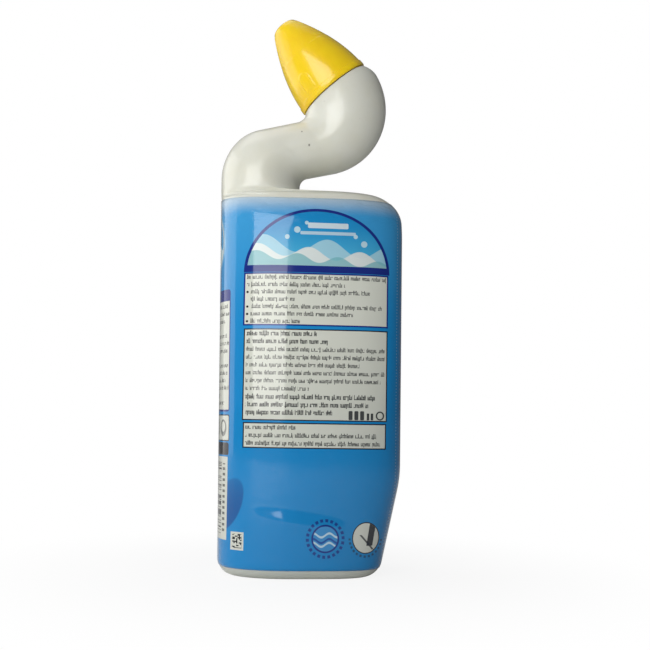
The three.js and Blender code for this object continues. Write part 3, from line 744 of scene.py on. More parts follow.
def film_print(blue):
    """Printed shrink film: blue field, arch with waves, panels of greeked lines and plain marks."""
    k = Inks("printed_film")
    s = k.bsdf.inputs
    wrap = k.node("ShaderNodeUVMap")
    wrap.uv_map = "wrap"
    parts = k.node("ShaderNodeSeparateXYZ")
    k.link(wrap.outputs[0], parts.inputs[0])
    x, y, z = k.x, k.y, k.z
    around = k.both(parts.outputs[0], -GIRTH_SCALE)
    front = k.over(k.both(y, -1), 0)
    side = k.under(x, -24)

    navy = srgb(16, 40, 132)
    black = srgb(22, 24, 28)
    paper = srgb(226, 229, 219)
    grey = srgb(96, 98, 100)

    # blue field, paler and clear towards the top edge
    field = k.colour(k.ramp(k.noise(14, 2), 0.3, 0.7), blue, tuple(c * 0.93 for c in blue))
    light = srgb(84, 176, 230)
    field = k.colour(k.both(k.ramp(z, 110, 172), 0.45), field, light)
    fade = k.plus(z, k.scaled(k.noise(60, 2), 1.6, -0.8))
    field = k.colour(k.both(k.ramp(fade, 168, 178.5), 0.88), field, srgb(196, 214, 228))
    drop_u = k.scaled(z, -0.28, k.minus(x, -37.4 - 0.28 * 33))
    drop = k.both(k.under(y, 0), k.disc(drop_u, z, 0, 33, 6.4, 12.4, 0.6))
    field = k.colour(k.both(drop, k.ramp(z, 64, 30)), field, srgb(10, 96, 170))

    def lay(mask, ink, amount=1.0):
        nonlocal field
        if amount != 1.0:
            mask = k.both(mask, amount)
        field = k.colour(mask, field, ink)

    def face(mask, ink, amount=1.0):
        lay(k.both(front, mask), ink, amount)

    def flank(mask, ink, amount=1.0):
        lay(k.both(side, mask), ink, amount)

    def words(lay_on, u, left, right, top, pitch, size, seed, bold, lengths, indent=0):
        """Rows of short upright strokes in place of lettering, each row with its own length."""
        rows = len(lengths)
        down = k.math("DIVIDE", k.minus(top, z), pitch)
        row = k.whole(down)
        within = k.both(k.minus(k.minus(down, row), 0.5), -pitch)
        reach = k.steps(k.math("DIVIDE", down, rows), lengths)
        end = k.scaled(reach, right - left, left)
        pitch_x = 0.64 + 0.08 * bold
        cell = k.math("DIVIDE", u, pitch_x)
        index = k.whole(cell)
        tone = k.dice(index, k.plus(row, seed))
        chance = tone.outputs["Value"]
        other = k.node("ShaderNodeSeparateXYZ")
        k.link(tone.outputs["Color"], other.inputs[0])
        second, third = other.outputs[1], other.outputs[2]
        half = 0.17 + 0.06 * bold
        across = k.absolute(k.minus(k.minus(cell, index), 0.5))
        stem = k.scaled(k.minus(across, half / pitch_x), -5, 0.5, clamp=True)
        stem = k.both(stem, k.over(chance, 0.14))
        ceiling = k.scaled(k.over(chance, 0.8), size * 0.4, size * 0.46)
        floor = k.scaled(k.under(second, 0.08), size * 0.35, size * 0.46)
        upper = k.scaled(k.minus(ceiling, within), 4, 0.5, clamp=True)
        lower = k.scaled(k.plus(floor, within), 4, 0.5, clamp=True)
        stem = k.both(stem, k.both(upper, lower))

        def bar(height, wanted):
            gap = k.absolute(k.minus(within, height))
            return k.both(k.scaled(k.minus(gap, half), -6, 0.5, clamp=True), wanted)

        bars = bar(size * 0.36, k.under(third, 0.5))
        bars = k.math("MAXIMUM", bars, bar(size * -0.36, k.over(third, 0.38)))
        bars = k.math("MAXIMUM", bars, bar(0.0, k.over(second, 0.72)))
        stem = k.math("MAXIMUM", stem, bars)
        gaps = k.node("ShaderNodeTexVoronoi", {"Scale": 1})
        gaps.voronoi_dimensions = "1D"
        gaps.feature = "DISTANCE_TO_EDGE"
        shift = k.scaled(row, 7.31, seed)
        k.feed(gaps.inputs["W"], k.scaled(u, 0.19, shift))
        word = k.over(gaps.outputs["Distance"], 0.075)
        start = left if not indent else k.scaled(k.over(row, 1.5), indent, left)
        inside = k.both(k.over(u, start), k.under(u, end))
        rows_ok = k.both(k.over(down, 0), k.under(down, rows))
        lay_on(k.both(k.both(stem, word), k.both(inside, rows_ok)), black, 0.92)

    # arch with waves over the first panel
    arch_u, arch_v = 2.0, 141.0
    whole = k.both(front, k.both(k.disc(x, z, arch_u, arch_v, 34.2, 30.4), k.ramp(z, 140.9, 141.1)))
    inner = k.both(front, k.both(k.disc(x, z, arch_u, arch_v, 32.8, 29.0), k.ramp(z, 144.2, 144.4)))
    lay(whole, navy)
    sky = k.colour(k.ramp(z, 146, 168), srgb(70, 178, 226), srgb(14, 140, 206))
    field = k.colour(inner, field, sky)
    for height, swing, length, turn, ink, amount in (
        (153.5, 3.6, 30, 0.2, srgb(178, 222, 236), 0.8),
        (150.2, 2.6, 24, 2.1, srgb(232, 238, 236), 0.9),
        (147.6, 1.8, 19, 4.0, srgb(120, 190, 200), 0.8),
    ):
        swell = k.swell(k.scaled(x, 2 * math.pi / length, turn))
        crest = k.scaled(swell, swing, height)
        crest = k.scaled(x, -0.07, crest)
        below = k.scaled(k.minus(crest, z), 4, 0.5, clamp=True)
        lay(k.both(inner, below), ink, amount)
    bubbles = ((-8, 161, 1.5), (-3.6, 164.4, 0.9), (-12.6, 157.6, 1.1), (19.5, 158.4, 1.0), (23.6, 155, 1.5))
    for u, v, r in bubbles:
        lay(k.both(inner, k.disc(x, z, u, v, r, r)), srgb(214, 238, 244), 0.75)
    lay(k.both(inner, k.box(x, z, 6.5, 163.2, 9.5, 1.3, 0.6)), srgb(222, 234, 240), 0.9)
    lay(k.both(inner, k.box(x, z, 6.5, 159.6, 13, 0.75, 0.4)), srgb(206, 226, 238), 0.8)

    # three panels with rows of strokes
    for middle_x, middle_z, half_x, half_z, edge, ink in (
        (1.8, 128.4, 33.9, 12.4, 0.7, navy),
        (2.0, 93.4, 33.6, 21.2, 0.55, black),
        (2.1, 65.4, 33.2, 5.9, 0.55, black),
    ):
        face(k.box(x, z, middle_x, middle_z, half_x, half_z), ink)
        face(k.box(x, z, middle_x, middle_z, half_x - edge, half_z - edge), paper)
    # left, right, top, row pitch, letter size, seed, boldness, row lengths, indent
    for block in (
        (-30.8, 34.4, 140.2, 3.42, 1.55, 3.0, 0.0, (1, 0.7, 0.88, 0.34, 0.97, 0.76, 0.38), 1.9),
        (-30.4, 34.2, 114.0, 3.62, 1.7, 11.0, 1.0, (0.5, 0.58)),
        (-30.4, 34.2, 106.7, 3.62, 1.55, 23.0, 0.0, (1, 1, 0.82, 1, 0.97, 0.45)),
        (-30.4, 34.2, 84.8, 3.62, 1.7, 37.0, 1.0, (0.93, 0.88, 0.62)),
        (-30.0, 33.6, 70.7, 3.6, 1.55, 51.0, 0.2, (0.36, 0.95, 0.98)),
    ):
        words(face, x, *block)
    for row in (2, 4, 5, 6):
        face(k.disc(x, z, -30.3, 138.5 - 3.42 * row, 0.55, 0.55), black)
    for at_x, at_z, half_x, half_z, radius in (
        (18.2, 75, 0.95, 2.1, 0.5),
        (20.9, 75, 0.95, 2.1, 0.5),
        (23.6, 75, 0.95, 2.1, 0.5),
        (26.4, 74.5, 0.6, 1.6, 0.3),
        (28.3, 74.5, 0.6, 1.6, 0.3),
    ):
        face(k.box(x, z, at_x, at_z, half_x, half_z, radius), black, 0.92)
    face(k.less(k.disc(x, z, 32.2, 75.0, 2.1, 2.1), k.disc(x, z, 32.2, 75.0, 1.35, 1.45)), black, 0.92)

    # round badge with arcs and a ring of dots
    turn_u, turn_v = 7.3, 18.9
    pale = srgb(205, 232, 245)
    angle = k.math("ARCTAN2", k.minus(z, turn_v), k.minus(x, turn_u))
    beads = k.over(k.swell(k.both(angle, 22)), -0.25)
    ring = k.less(k.disc(x, z, turn_u, turn_v, 8.9, 8.9), k.disc(x, z, turn_u, turn_v, 7.5, 7.5))
    face(k.both(ring, beads), navy, 0.85)
    face(k.disc(x, z, turn_u, turn_v, 6.4, 6.4), navy, 0.95)
    badge = k.both(front, k.disc(x, z, turn_u, turn_v, 5.6, 5.6))
    lay(badge, srgb(60, 150, 215))
    for lift, ink in ((1.6, pale), (-0.9, srgb(16, 70, 160)), (-2.6, pale)):
        swell = k.swell(k.both(k.minus(x, turn_u), 0.85))
        gap = k.absolute(k.minus(z, k.scaled(swell, 0.9, turn_v + lift)))
        lay(k.both(badge, k.scaled(gap, -6, 3.4, clamp=True)), ink, 0.9)

    # round mark with a slanted bar and a wedge
    ru, rv = 26.3, 19.2
    face(k.disc(x, z, ru, rv, 6.6, 7.2), black)
    white = k.both(front, k.disc(x, z, ru, rv, 6.15, 6.75))
    lay(white, paper)
    lean = k.scaled(z, -0.16, k.minus(x, ru + 2.2 - rv * 0.16))
    lay(k.both(white, k.box(lean, z, 0, rv + 1.6, 1.5, 5.2, 0.3)), black, 0.95)
    wedge = k.scaled(z, 0.9, k.minus(x, ru - 1.4 + rv * 0.9))
    lay(k.both(white, k.box(wedge, z, 0, rv - 2.0, 0.55, 3.4, 0.2)), black, 0.85)
    lower = k.less(k.disc(x, z, ru, rv, 8.3, 9.0), k.disc(x, z, ru, rv, 7.3, 8.0))
    spin = k.math("ARCTAN2", k.minus(z, rv), k.minus(x, ru))
    lower = k.both(lower, k.over(k.swell(k.both(spin, 26)), -0.1))
    face(k.both(lower, k.ramp(z, rv + 0.5, rv - 0.5)), black, 0.7)

    # side panel round the rounded end, the same before and behind
    reach = 19.0
    flank(k.box(around, z, 0, 104.8, reach, 28.8, 1.6), navy)
    flank(k.box(around, z, 0, 102.5, reach - 0.7, 25.6, 0.3), paper)
    lengths = (0.97, 1, 0.9, 0.4, 0.95, 1, 0.98, 0.6, 1, 0.97, 0.93, 1, 0.7, 0.9)
    words(flank, around, -reach + 1.6, reach - 1.0, 127.2, 3.5, 1.5, 71.0, 0.1, lengths)
    flank(k.box(around, z, 0, 68.4, reach, 6.2, 0.8), black)
    flank(k.box(around, z, 0, 68.4, reach - 0.5, 5.7, 0.5), paper)
    for i in range(4):
        flank(k.disc(around, z, -13.5 + i * 9, 68.4, 3.2, 4.0), grey, 0.8)
        flank(k.disc(around, z, -13.5 + i * 9, 68.9, 2.0, 2.4), paper)
    flank(k.box(around, z, 0, 58.7, reach - 0.3, 2.9, 1.2), black)

    # stripes of uneven width beside a column of short bars
    flank(k.box(around, z, 7.4, 35.9, 10.6, 19.1, 0.3), paper)
    bars = k.node("ShaderNodeTexWhiteNoise")
    bars.noise_dimensions = "1D"
    k.feed(bars.inputs["W"], k.whole(k.both(z, 2.6)))
    dark = k.over(bars.outputs["Value"], 0.5)
    flank(k.both(dark, k.box(around, z, 5.6, 35.9, 6.6, 16.6)), black)
    ticks = k.over(k.swell(k.both(z, 2.45)), 0.05)
    flank(k.both(ticks, k.box(around, z, 14.8, 35.9, 1.2, 16.0)), black, 0.8)

    # small square of mixed cells
    cells = k.dice(k.whole(k.both(x, 1.7)), k.whole(k.both(z, 1.7)))
    face(k.box(x, z, -32.6, 17.0, 2.9, 4.1), paper)
    some = k.over(cells.outputs["Value"], 0.5)
    face(k.both(some, k.box(x, z, -32.6, 17.0, 2.1, 3.2)), black)

    # round badge that wraps the rounded end
    round_u, round_v = -1.5, 156.8
    flank(k.disc(around, z, round_u, round_v, 15.6, 15.6), srgb(150, 205, 236), 0.5)
    flank(k.disc(around, z, round_u, round_v, 13.8, 13.8), paper)
    flank(k.disc(around, z, round_u, round_v, 12.9, 12.9), srgb(70, 160, 214))
    swell = k.swell(k.both(around, 0.42))
    below = k.under(z, k.scaled(swell, 1.8, round_v - 2))
    flank(k.both(below, k.disc(around, z, round_u, round_v, 12.9, 12.9)), srgb(206, 232, 240))

    # small holes of the tear line down the shoulder-side corner
    step = k.absolute(k.minus(k.math("FRACT", k.math("DIVIDE", z, 1.5)), 0.5))
    edge_x = k.scaled(k.ramp(z, 46, 10), -5.5, 40.6)
    near = k.scaled(k.absolute(k.minus(x, edge_x)), -6, 1.8, clamp=True)
    holes = k.both(front, k.both(near, k.under(step, 0.22)))
    lay(holes, srgb(150, 200, 232), 0.55)

    # welded overlap of the film down the back
    seam = k.less(k.box(x, z, 14, 90, 3.2, 100, 0, 0.2), front)
    lay(seam, tuple(c * 0.8 for c in blue), 0.5)

    # darker towards the bottom, and painted shade darkening the right side of the field, print and paper
    # included
    darker_low_painted_shade_right = k.scaled(k.ramp(z, 150, 40), 0.12, k.both(k.ramp(x, -20, 35), 0.17))
    field = k.colour(k.plus(darker_low_painted_shade_right, 0.03), field, (0.002, 0.012, 0.03))
    k.link(field, s["Base Color"])
    scuff = k.noise(90, 4, (1, 1, 0.3))
    k.link(k.scaled(scuff, 0.1, 0.1), s["Roughness"])
    cockle = k.noise(55, 2, (1.6, 1.6, 0.55))
    top = k.ramp(z, 150, 178)
    crease = k.both(k.noise(140, 4, (1.2, 1.2, 2.6)), top)
    height = k.bump(cockle, 0.0009, 0.35)
    height = k.bump(crease, 0.0012, 0.75, height)
    height = k.bump(holes, 0.0001, 0.6, height)
    k.link(k.bump(seam, 0.00012, 0.8, height), s["Normal"])
    s["IOR"].default_value = 1.5
    s["Specular IOR Level"].default_value = 0.2
    s["Coat Weight"].default_value = 0.7
    s["Coat Roughness"].default_value = 0.04
    return k.mat


# Pieces


def cap_profile(along):
    return CAP_RADIUS - TAPER_DROP * (along / TAPER_RUN) ** TAPER_POWER


def pad_height(turn, along):
    """Raised arch of a squeeze pad with a lowered middle."""
    best = 0.0
    for side in (0, math.pi):
        d = (turn - PAD_TURN - side + math.pi) % (2 * math.pi) - math.pi
        u = d * cap_profile(along)
        v = along - PAD_FOOT
        half = PAD_WIDTH / 2
        if abs(u) > half + 1.5 or v < -1 or v > PAD_HEIGHT + 1.5:
            continue
        top = PAD_HEIGHT - half
        reach = math.hypot(u, max(0, v - top)) - half
        outer = ease(0.25, -0.25, reach)
        inner = ease(-0.65, -1.15, reach)
        best = max(best, ease(-0.4, 0.5, v) * (PAD_PROUD * outer - PAD_HOLLOW * inner))
    return best


def make_cap(ribs, count=768):
    """Ribbed, banded cap: outer face as a height over turn and length, hollow inside."""
    band = CAP_RADIUS + BAND_PROUD
    rings = []
    for radius, along in (
        (0.4, CAP_CEILING),
        (cap_profile(CAP_CEILING) - CAP_WALL, CAP_CEILING),
        (cap_profile(34) - CAP_WALL, 34),
        (cap_profile(28) - CAP_WALL, 28),
        (cap_profile(21) - CAP_WALL, 21),
        (THREAD_BORE, 14),
        (THREAD_BORE, SKIRT_DEPTH),
        (INNER_WALL_RADIUS, SKIRT_DEPTH),
        (INNER_WALL_RADIUS, SKIRT_GROOVE),
        (SKIRT_BORE, SKIRT_GROOVE),
        (SKIRT_BORE, 0.3),
        (SKIRT_BORE + 0.3, 0),
        (band - 0.5, 0), (band - 0.15, 0.15), (band, 0.5), (band - 0.03, 1.6), (band - 0.06, 2.7),
        (band - 0.12, 3.0), (band - 0.45, 3.15), (band - 0.5, 3.3),
        (cap_profile(3.5), 3.5), (cap_profile(3.8), 3.8),
    ):
        rings.append(cap_ring(radius, along, count))
    along = 4.1
    while along < RIB_START - 0.7:
        here = along
        rings.append(cap_ring(lambda a: cap_profile(here) + pad_height(a, here), here, count))
        along += 0.35 if along < PAD_FOOT + PAD_HEIGHT + 1.2 else 0.8
    for back, up in ((0.0, -0.55), (0.01, -0.25), (0.03, -0.08), (RIB_SINK, 0.0)):
        rings.append(cap_ring(cap_profile(RIB_START + up) - back, RIB_START + up, count))
    steps = 26
    for i in range(steps + 1):
        t = i / steps
        here = mix(RIB_START + 0.15, RIB_END, t)
        deep = RIB_DEPTH * ease(0, 0.06, t) * (1 - 0.6 * ease(0.9, 1, t))

        def ribbed(a):
            wave = 0.5 - 0.5 * math.cos(a * ribs)
            return cap_profile(here) - RIB_SINK - deep * wave

        rings.append(cap_ring(ribbed, here, count))
    for radius, up in (
        (cap_profile(RIB_END + 0.35) - 0.12, RIB_END + 0.35),
        (6.75, 39.3), (6.35, 40.0), (5.7, 40.6), (4.7, 41.1), (3.4, 41.5), (2.0, 41.72), (0.8, CAP_LENGTH),
    ):
        rings.append(cap_ring(radius, up, count))
    cap = loft("cap_shell", rings)
    start = NECK_THREAD_START + PITCH / 2
    thread = loft("cap_thread", helix(THREAD_BORE + ROOT_BURY, CAP_THREAD_RADIUS, start, True))
    teeth = []
    for side in (0, math.pi):
        turn = PAD_TURN + math.pi / 2 + side + LUG_ANGLE
        outer = SKIRT_BORE + ROOT_BURY
        block = arc_block(LUG_RADIUS + 0.35, outer, LUG_ANGLE / 2, TOOTH_FOOT, LUG_HEIGHT, turn)
        teeth.append(loft("cap_tooth", block))
    piece = join("cap_shell", [cap, thread, *teeth])
    sharpen(piece, 35)
    return piece


def make_bottle():
    room = FILM + FILM_GAP
    rings = []
    for inset, z in (
        (HUB_INSET, PUSH_UP),
        (BEARING_INSET + PUSH_UP_RUN, PUSH_UP),
        (BEARING_INSET + 5.2, 2.6),
        (BEARING_INSET + 3.2, 1.5),
        (BEARING_INSET + 1.2, 0.35),
        (BEARING_INSET, 0),
        (FOOT_RADIUS + 0.6, 0),
    ):
        rings.append(level(z, inset, False, 0))
    for i in range(1, 13):
        turn = i / 12 * math.pi / 2
        z = FOOT_RADIUS * (1 - math.cos(turn))
        rings.append(level(z, FOOT_RADIUS * (1 - math.sin(turn)) + room * ease(0, 1, i / 12)))
    z = FOOT_RADIUS
    while z < FILM_TOP - 0.1:
        z = min(FILM_TOP, z + (2.2 if PANEL_FOOT - 4 < z < 60 or z > 156 else 5))
        rings.append(level(z, room))
    rings += neck_rings(0, 1, room)
    for radius, along in (
        (COLLAR_RADIUS - 0.25, -RIM_GAP + 0.12),
        (COLLAR_RADIUS - COLLAR_EDGE, -RIM_GAP + 0.2),
        (FINISH_RADIUS + 0.5, -RIM_GAP + 0.2),
        (FINISH_RADIUS, -RIM_GAP + 0.6),
        (FINISH_RADIUS, FINISH_HEIGHT - 0.5),
        (FINISH_RADIUS - 0.15, FINISH_HEIGHT - 0.15),
        (FINISH_RADIUS - 0.5, FINISH_HEIGHT),
        (BORE_RADIUS + 0.5, FINISH_HEIGHT),
        (BORE_RADIUS, FINISH_HEIGHT - 0.5),
        (BORE_RADIUS, -RIM_GAP - WALL),
    ):
        rings.append(cap_ring(radius, along))
    rings += neck_rings(WALL, 0.35)[::-1][2:]
    for z in (176, 172, 168, 165, 150, 100, 52, 46, 40, 20, 8):
        rings.append(level(z, WALL + room))
    rings.append(level(3, FOOT_RADIUS * 0.5 + WALL))
    rings.append(level(WALL, BEARING_INSET, False))
    rings.append(level(WALL + PUSH_UP, HUB_INSET, False))
    shell = loft("bottle_shell", rings)
    root = FINISH_RADIUS - ROOT_BURY
    thread = loft("neck_thread", helix(root, NECK_THREAD_RADIUS, NECK_THREAD_START))
    lugs = []
    for side in (0, math.pi):
        turn = PAD_TURN + math.pi / 2 + side
        block = arc_block(root, LUG_RADIUS, LUG_ANGLE, LUG_FOOT, LUG_RISE, turn)
        lugs.append(loft("neck_lug", block))
    piece = join("bottle_shell", [shell, thread, *lugs])
    sharpen(piece, 50)
    return piece


def make_film():
    """Film with an uneven top edge that sags on the broad faces, and a foot drawn in round the base."""
    rnd = random.Random(7)
    waves = [(rnd.uniform(0.03, 0.14), rnd.randint(2, 9), rnd.uniform(0, 6.28)) for _ in range(6)]
    step = 0.5
    rows = int((FILM_TOP - FILM_FOOT) / step) + 1

    def face(inset):
        table = []
        for i in range(rows + 1):
            h = min(FILM_TOP, FILM_FOOT + i * step)
            drop = max(0, 1 - h / FOOT_RADIUS)
            foot = FOOT_RADIUS * (1 - math.sqrt(1 - drop * drop))
            table.append(level(h, inset + foot))
        spans = [max(p[3] for p in ring) for ring in table]
        rings = []
        for k in range(151):
            t = k / 150
            ring = []
            for i in range(len(table[0])):
                girth = abs(table[-1][i][3]) / spans[-1] * math.pi
                signed = table[-1][i][3] / spans[-1] * math.pi
                wave = sum(size * math.sin(n * signed + turn) for size, n, turn in waves)
                top = FILM_TOP - 0.3 - FILM_SAG * math.sin(girth) ** 0.8 + 0.6 * wave
                foot = FILM_FOOT - 0.3 * wave
                place = (mix(max(FILM_FOOT, foot), min(FILM_TOP, top), t) - FILM_FOOT) / step
                low = min(rows - 1, int(place))
                p, q = table[low][i], table[low + 1][i]
                ring.append(tuple(mix(p[j], q[j], place - low) for j in range(4)))
            rings.append(ring)
        return rings

    return loft("film_sleeve", face(0) + face(FILM)[::-1], closed=True, girth=True)


# Stage

EYE_SIDE = 5 * DEG
ROLL = 0.9 * DEG
TILT = 5.053 * DEG
PAN = 6.002 * DEG
SENSOR = 36
FOCAL_LENGTH = 1020 / 650 * SENSOR
FLOOR_HALF = 30.0


def look_at_frame(scene, eye, focal, roll, tilt, pan):
    """Camera on the photo's line of sight: pan and tilt turn it, roll leans the horizon."""
    forward = Vector((math.sin(pan) * math.cos(tilt), math.cos(pan) * math.cos(tilt), math.sin(tilt)))
    right = forward.cross(Vector((0, 0, 1))).normalized()
    up = right.cross(forward)
    c, s = math.cos(roll), math.sin(roll)
    r = right * c + up * s
    u = up * c - right * s
    data = bpy.data.cameras.new("photo_camera")
    data.sensor_width = SENSOR
    data.sensor_fit = "HORIZONTAL"
    data.lens = focal
    data.clip_start = 0.01
    data.clip_end = 100
    camera = bpy.data.objects.new("photo_camera", data)
    camera.matrix_world = Matrix((
        (r.x, u.x, -forward.x, eye[0]),
        (r.y, u.y, -forward.y, eye[1]),
        (r.z, u.z, -forward.z, eye[2]),
        (0, 0, 0, 1),
    ))
    scene.collection.objects.link(camera)
    scene.camera = camera


def area_light(name, at, aim, size, size_y, power, colour=(1, 1, 1)):
    data = bpy.data.lights.new(name, "AREA")
    data.shape = "RECTANGLE"
    data.size = size
    data.size_y = size_y
    data.energy = power
    data.color = colour
    lamp = bpy.data.objects.new(name, data)
    lamp.location = at
    lamp.rotation_euler = (Vector(aim) - Vector(at)).to_track_quat("-Z", "Y").to_euler()
    bpy.context.scene.collection.objects.link(lamp)


def backdrop_world(scene, level_light):
    """Even room light that falls off to the right; the camera itself sees plain white."""
    world = bpy.data.worlds.new("studio")
    scene.world = world
    world.use_nodes = True
    world.node_tree.nodes.clear()
    k = Nodes(world.node_tree)
    rays = k.node("ShaderNodeLightPath")
    coords = k.node("ShaderNodeTexCoord")
    split = k.node("ShaderNodeSeparateXYZ")
    ends = {"From Min": -0.9, "From Max": 0.9, "To Min": level_light * 1.35, "To Max": level_light * 0.5}
    side = k.node("ShaderNodeMapRange", ends)
    room = k.node("ShaderNodeBackground", {"Color": WHITE})
    white = k.node("ShaderNodeBackground", {"Color": WHITE, "Strength": 1})
    blend = k.node("ShaderNodeMixShader")
    k.link(coords.outputs["Generated"], split.inputs[0])
    k.link(split.outputs[0], side.inputs["Value"])
    k.link(side.outputs[0], room.inputs["Strength"])
    k.link(rays.outputs["Is Camera Ray"], blend.inputs[0])
    k.link(room.outputs[0], blend.inputs[1])
    k.link(white.outputs[0], blend.inputs[2])
    k.link(blend.outputs[0], k.node("ShaderNodeOutputWorld").inputs[0])


def floor_material():
    """Pale floor that fades to white away from the bottle and keeps the shadow near it."""
    k = Inks("pale_floor")
    out = next(n for n in k.tree.nodes if n.type == "OUTPUT_MATERIAL")
    k.bsdf.inputs["Roughness"].default_value = 0.8
    noise = k.node("ShaderNodeTexNoise", {"Scale": 30})
    shade = k.node("ShaderNodeMapRange", {"To Min": 0.86, "To Max": 0.9})
    k.link(noise.outputs["Fac"], shade.inputs["Value"])
    k.link(shade.outputs[0], k.bsdf.inputs["Base Color"])
    far = k.node("ShaderNodeVectorMath")
    far.operation = "LENGTH"
    fade = k.node("ShaderNodeMapRange", {"From Min": 0.02, "From Max": 0.2, "To Min": 0.88, "To Max": 1.0})
    fade.interpolation_type = "SMOOTHSTEP"
    k.link(k.place, far.inputs[0])
    k.link(far.outputs["Value"], fade.inputs["Value"])
    seen = k.node("ShaderNodeLightPath").outputs["Is Camera Ray"]
    blend = k.node("ShaderNodeMixShader")
    k.link(k.both(seen, fade.outputs[0]), blend.inputs[0])
    k.link(k.bsdf.outputs[0], blend.inputs[1])
    k.link(k.node("ShaderNodeEmission").outputs[0], blend.inputs[2])
    k.link(blend.outputs[0], out.inputs[0])
    return k.mat


# Settings


class BottleSettings(bpy.types.PropertyGroup):
    colour: bpy.props.FloatVectorProperty(
        name="Bottle colour", description="Colour of the white moulded plastic",
        default=srgb(228, 229, 219), size=3, min=0, max=1, subtype="COLOR",
    )
    roughness: bpy.props.FloatProperty(
        name="Roughness", description="How matt the moulded plastic is",
        default=0.4, min=0, max=1, subtype="FACTOR",
    )


class FilmSettings(bpy.types.PropertyGroup):
    colour: bpy.props.FloatVectorProperty(
        name="Film colour", description="Blue of the printed film",
        default=srgb(14, 144, 216), size=3, min=0, max=1, subtype="COLOR",
    )


class CapSettings(bpy.types.PropertyGroup):
    colour: bpy.props.FloatVectorProperty(
        name="Cap colour", description="Yellow of the screw cap",
        default=srgb(254, 216, 16), size=3, min=0, max=1, subtype="COLOR",
    )
    ribs: bpy.props.IntProperty(
        name="Ribs", description="Fine ribs round the upper part of the cap",
        default=96, min=24, max=160,
    )


class StageSettings(bpy.types.PropertyGroup):
    eye_distance: bpy.props.FloatProperty(
        name="Eye distance", description="From the bottle's middle to the camera, level",
        default=0.5, min=0.2, max=3, unit="LENGTH",
    )
    eye_height: bpy.props.FloatProperty(
        name="Eye height", description="Camera height over the floor",
        default=0.075, min=0.01, max=1, unit="LENGTH",
    )
    light: bpy.props.FloatProperty(
        name="Room light", description="Strength of the even studio light",
        default=0.19, min=0, max=2,
    )


class BOTTLE_OT_shell(bpy.types.Operator):
    """Build the smooth bottle with its duck neck and threaded mouth"""

    bl_idname = "cleaner_bottle.shell"
    bl_label = "Bottle"

    def execute(self, context):
        settings = context.scene.bottle_settings
        shell = make_bottle()
        plastic = bottle_plastic(tuple(settings.colour), settings.roughness)
        shell.data.materials.append(plastic)
        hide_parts("bottle")
        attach(shell, "filled_bottle")
        return {"FINISHED"}


class BOTTLE_OT_film(bpy.types.Operator):
    """Build the printed film that is shrunk round the body"""

    bl_idname = "cleaner_bottle.film"
    bl_label = "Film sleeve"

    def execute(self, context):
        settings = context.scene.film_settings
        film = make_film()
        film.data.materials.append(film_print(tuple(settings.colour)))
        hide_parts("label_sleeve")
        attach(film, "filled_bottle")
        return {"FINISHED"}


class BOTTLE_OT_cap(bpy.types.Operator):
    """Build the ribbed screw cap with its squeeze pads"""

    bl_idname = "cleaner_bottle.cap"
    bl_label = "Screw cap"

    def execute(self, context):
        settings = context.scene.cap_settings
        cap = make_cap(settings.ribs)
        cap.data.materials.append(cap_plastic(tuple(settings.colour)))
        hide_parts("cap")
        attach(cap, "screw_cap")
        return {"FINISHED"}


class BOTTLE_OT_inside(bpy.types.Operator):
    """Give the nozzle, the sealing pad and the gel their materials"""

    bl_idname = "cleaner_bottle.inside"
    bl_label = "Nozzle, pad and gel"

    def execute(self, context):
        looks = {
            "nozzle_insert": plain_plastic("nozzle_plastic", srgb(226, 228, 222), 0.45, 900),
            "sealing_pad": plain_plastic("pad_foam", srgb(214, 214, 206), 0.85, 1800),
            "cleaning_gel": plain_plastic("gel", srgb(40, 160, 180), 0.15, 80),
        }
        for node, material in looks.items():
            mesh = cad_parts[node].data
            mesh.materials.clear()
            mesh.materials.append(material)
        return {"FINISHED"}


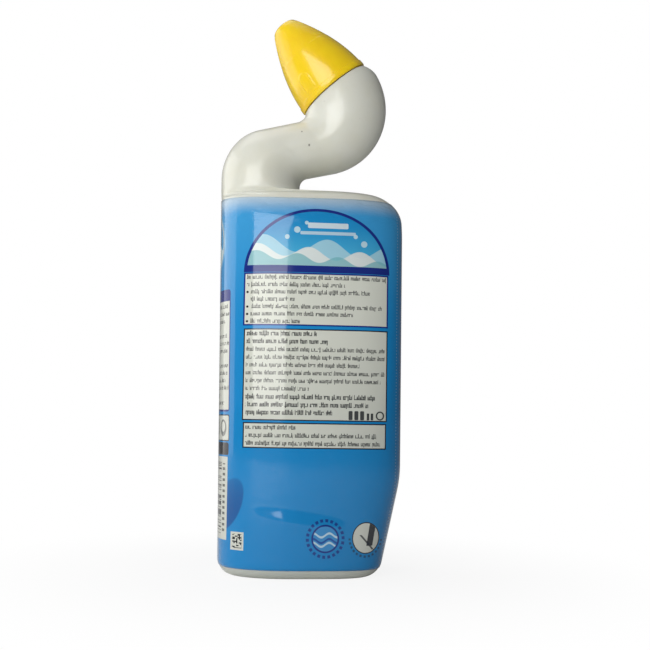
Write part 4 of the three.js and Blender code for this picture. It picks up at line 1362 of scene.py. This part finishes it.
class BOTTLE_OT_stage(bpy.types.Operator):
    """Set the floor, the soft studio light and the camera"""

    bl_idname = "cleaner_bottle.stage"
    bl_label = "Stage"

    def execute(self, context):
        scene = context.scene
        settings = scene.stage_settings
        mesh = bpy.data.meshes.new("floor")
        corners = [(u * FLOOR_HALF, v * FLOOR_HALF, 0) for u, v in ((-1, -1), (1, -1), (1, 1), (-1, 1))]
        mesh.from_pydata(corners, [], [(0, 1, 2, 3)])
        floor = bpy.data.objects.new("floor", mesh)
        mesh.materials.append(floor_material())
        scene.collection.objects.link(floor)
        backdrop_world(scene, settings.light)
        area_light("front_box", (-0.415, -0.87, 0.42), (0, 0, 0.14), 0.7, 0.72, 6.4, (1.0, 0.99, 0.96))
        area_light("side_box", (-0.9, 0.33, 0.42), (0, 0, 0.15), 0.9, 0.9, 3.4, (1.0, 0.985, 0.95))
        area_light("top_box", (-0.2, 0.2, 0.95), (0, 0, 0.1), 0.6, 0.6, 1.2)
        d = settings.eye_distance
        eye = (SHIFT * MM - d * math.sin(EYE_SIDE), -d * math.cos(EYE_SIDE), settings.eye_height)
        look_at_frame(scene, eye, FOCAL_LENGTH, ROLL, TILT, PAN)
        scene.view_settings.view_transform = "Standard"
        return {"FINISHED"}


class BOTTLE_PT_panel(bpy.types.Panel):
    """Lists the pieces of the bottle and their settings"""

    bl_idname = "BOTTLE_PT_panel"
    bl_label = "Toilet cleaner bottle"
    bl_space_type = "VIEW_3D"
    bl_region_type = "UI"
    bl_category = "Bottle"

    def draw(self, context):
        layout = self.layout
        scene = context.scene
        for group, names, operator in (
            (scene.bottle_settings, ("colour", "roughness"), BOTTLE_OT_shell),
            (scene.film_settings, ("colour",), BOTTLE_OT_film),
            (scene.cap_settings, ("colour", "ribs"), BOTTLE_OT_cap),
            (None, (), BOTTLE_OT_inside),
            (scene.stage_settings, ("eye_distance", "eye_height", "light"), BOTTLE_OT_stage),
        ):
            column = layout.column()
            for name in names:
                column.prop(group, name)
            column.operator(operator.bl_idname)


SETTINGS = {
    "bottle_settings": BottleSettings,
    "film_settings": FilmSettings,
    "cap_settings": CapSettings,
    "stage_settings": StageSettings,
}
OPERATORS = (BOTTLE_OT_shell, BOTTLE_OT_film, BOTTLE_OT_cap, BOTTLE_OT_inside, BOTTLE_OT_stage)


def register():
    for name, kind in SETTINGS.items():
        bpy.utils.register_class(kind)
        setattr(bpy.types.Scene, name, bpy.props.PointerProperty(type=kind))
    for kind in (*OPERATORS, BOTTLE_PT_panel):
        bpy.utils.register_class(kind)


def unregister():
    for kind in (BOTTLE_PT_panel, *reversed(OPERATORS)):
        bpy.utils.unregister_class(kind)
    for name, kind in SETTINGS.items():
        delattr(bpy.types.Scene, name)
        bpy.utils.unregister_class(kind)


def main():
    register()
    bpy.ops.cleaner_bottle.shell()
    bpy.ops.cleaner_bottle.film()
    bpy.ops.cleaner_bottle.cap()
    bpy.ops.cleaner_bottle.inside()
    bpy.ops.cleaner_bottle.stage()


if __name__ == "__main__":
    main()
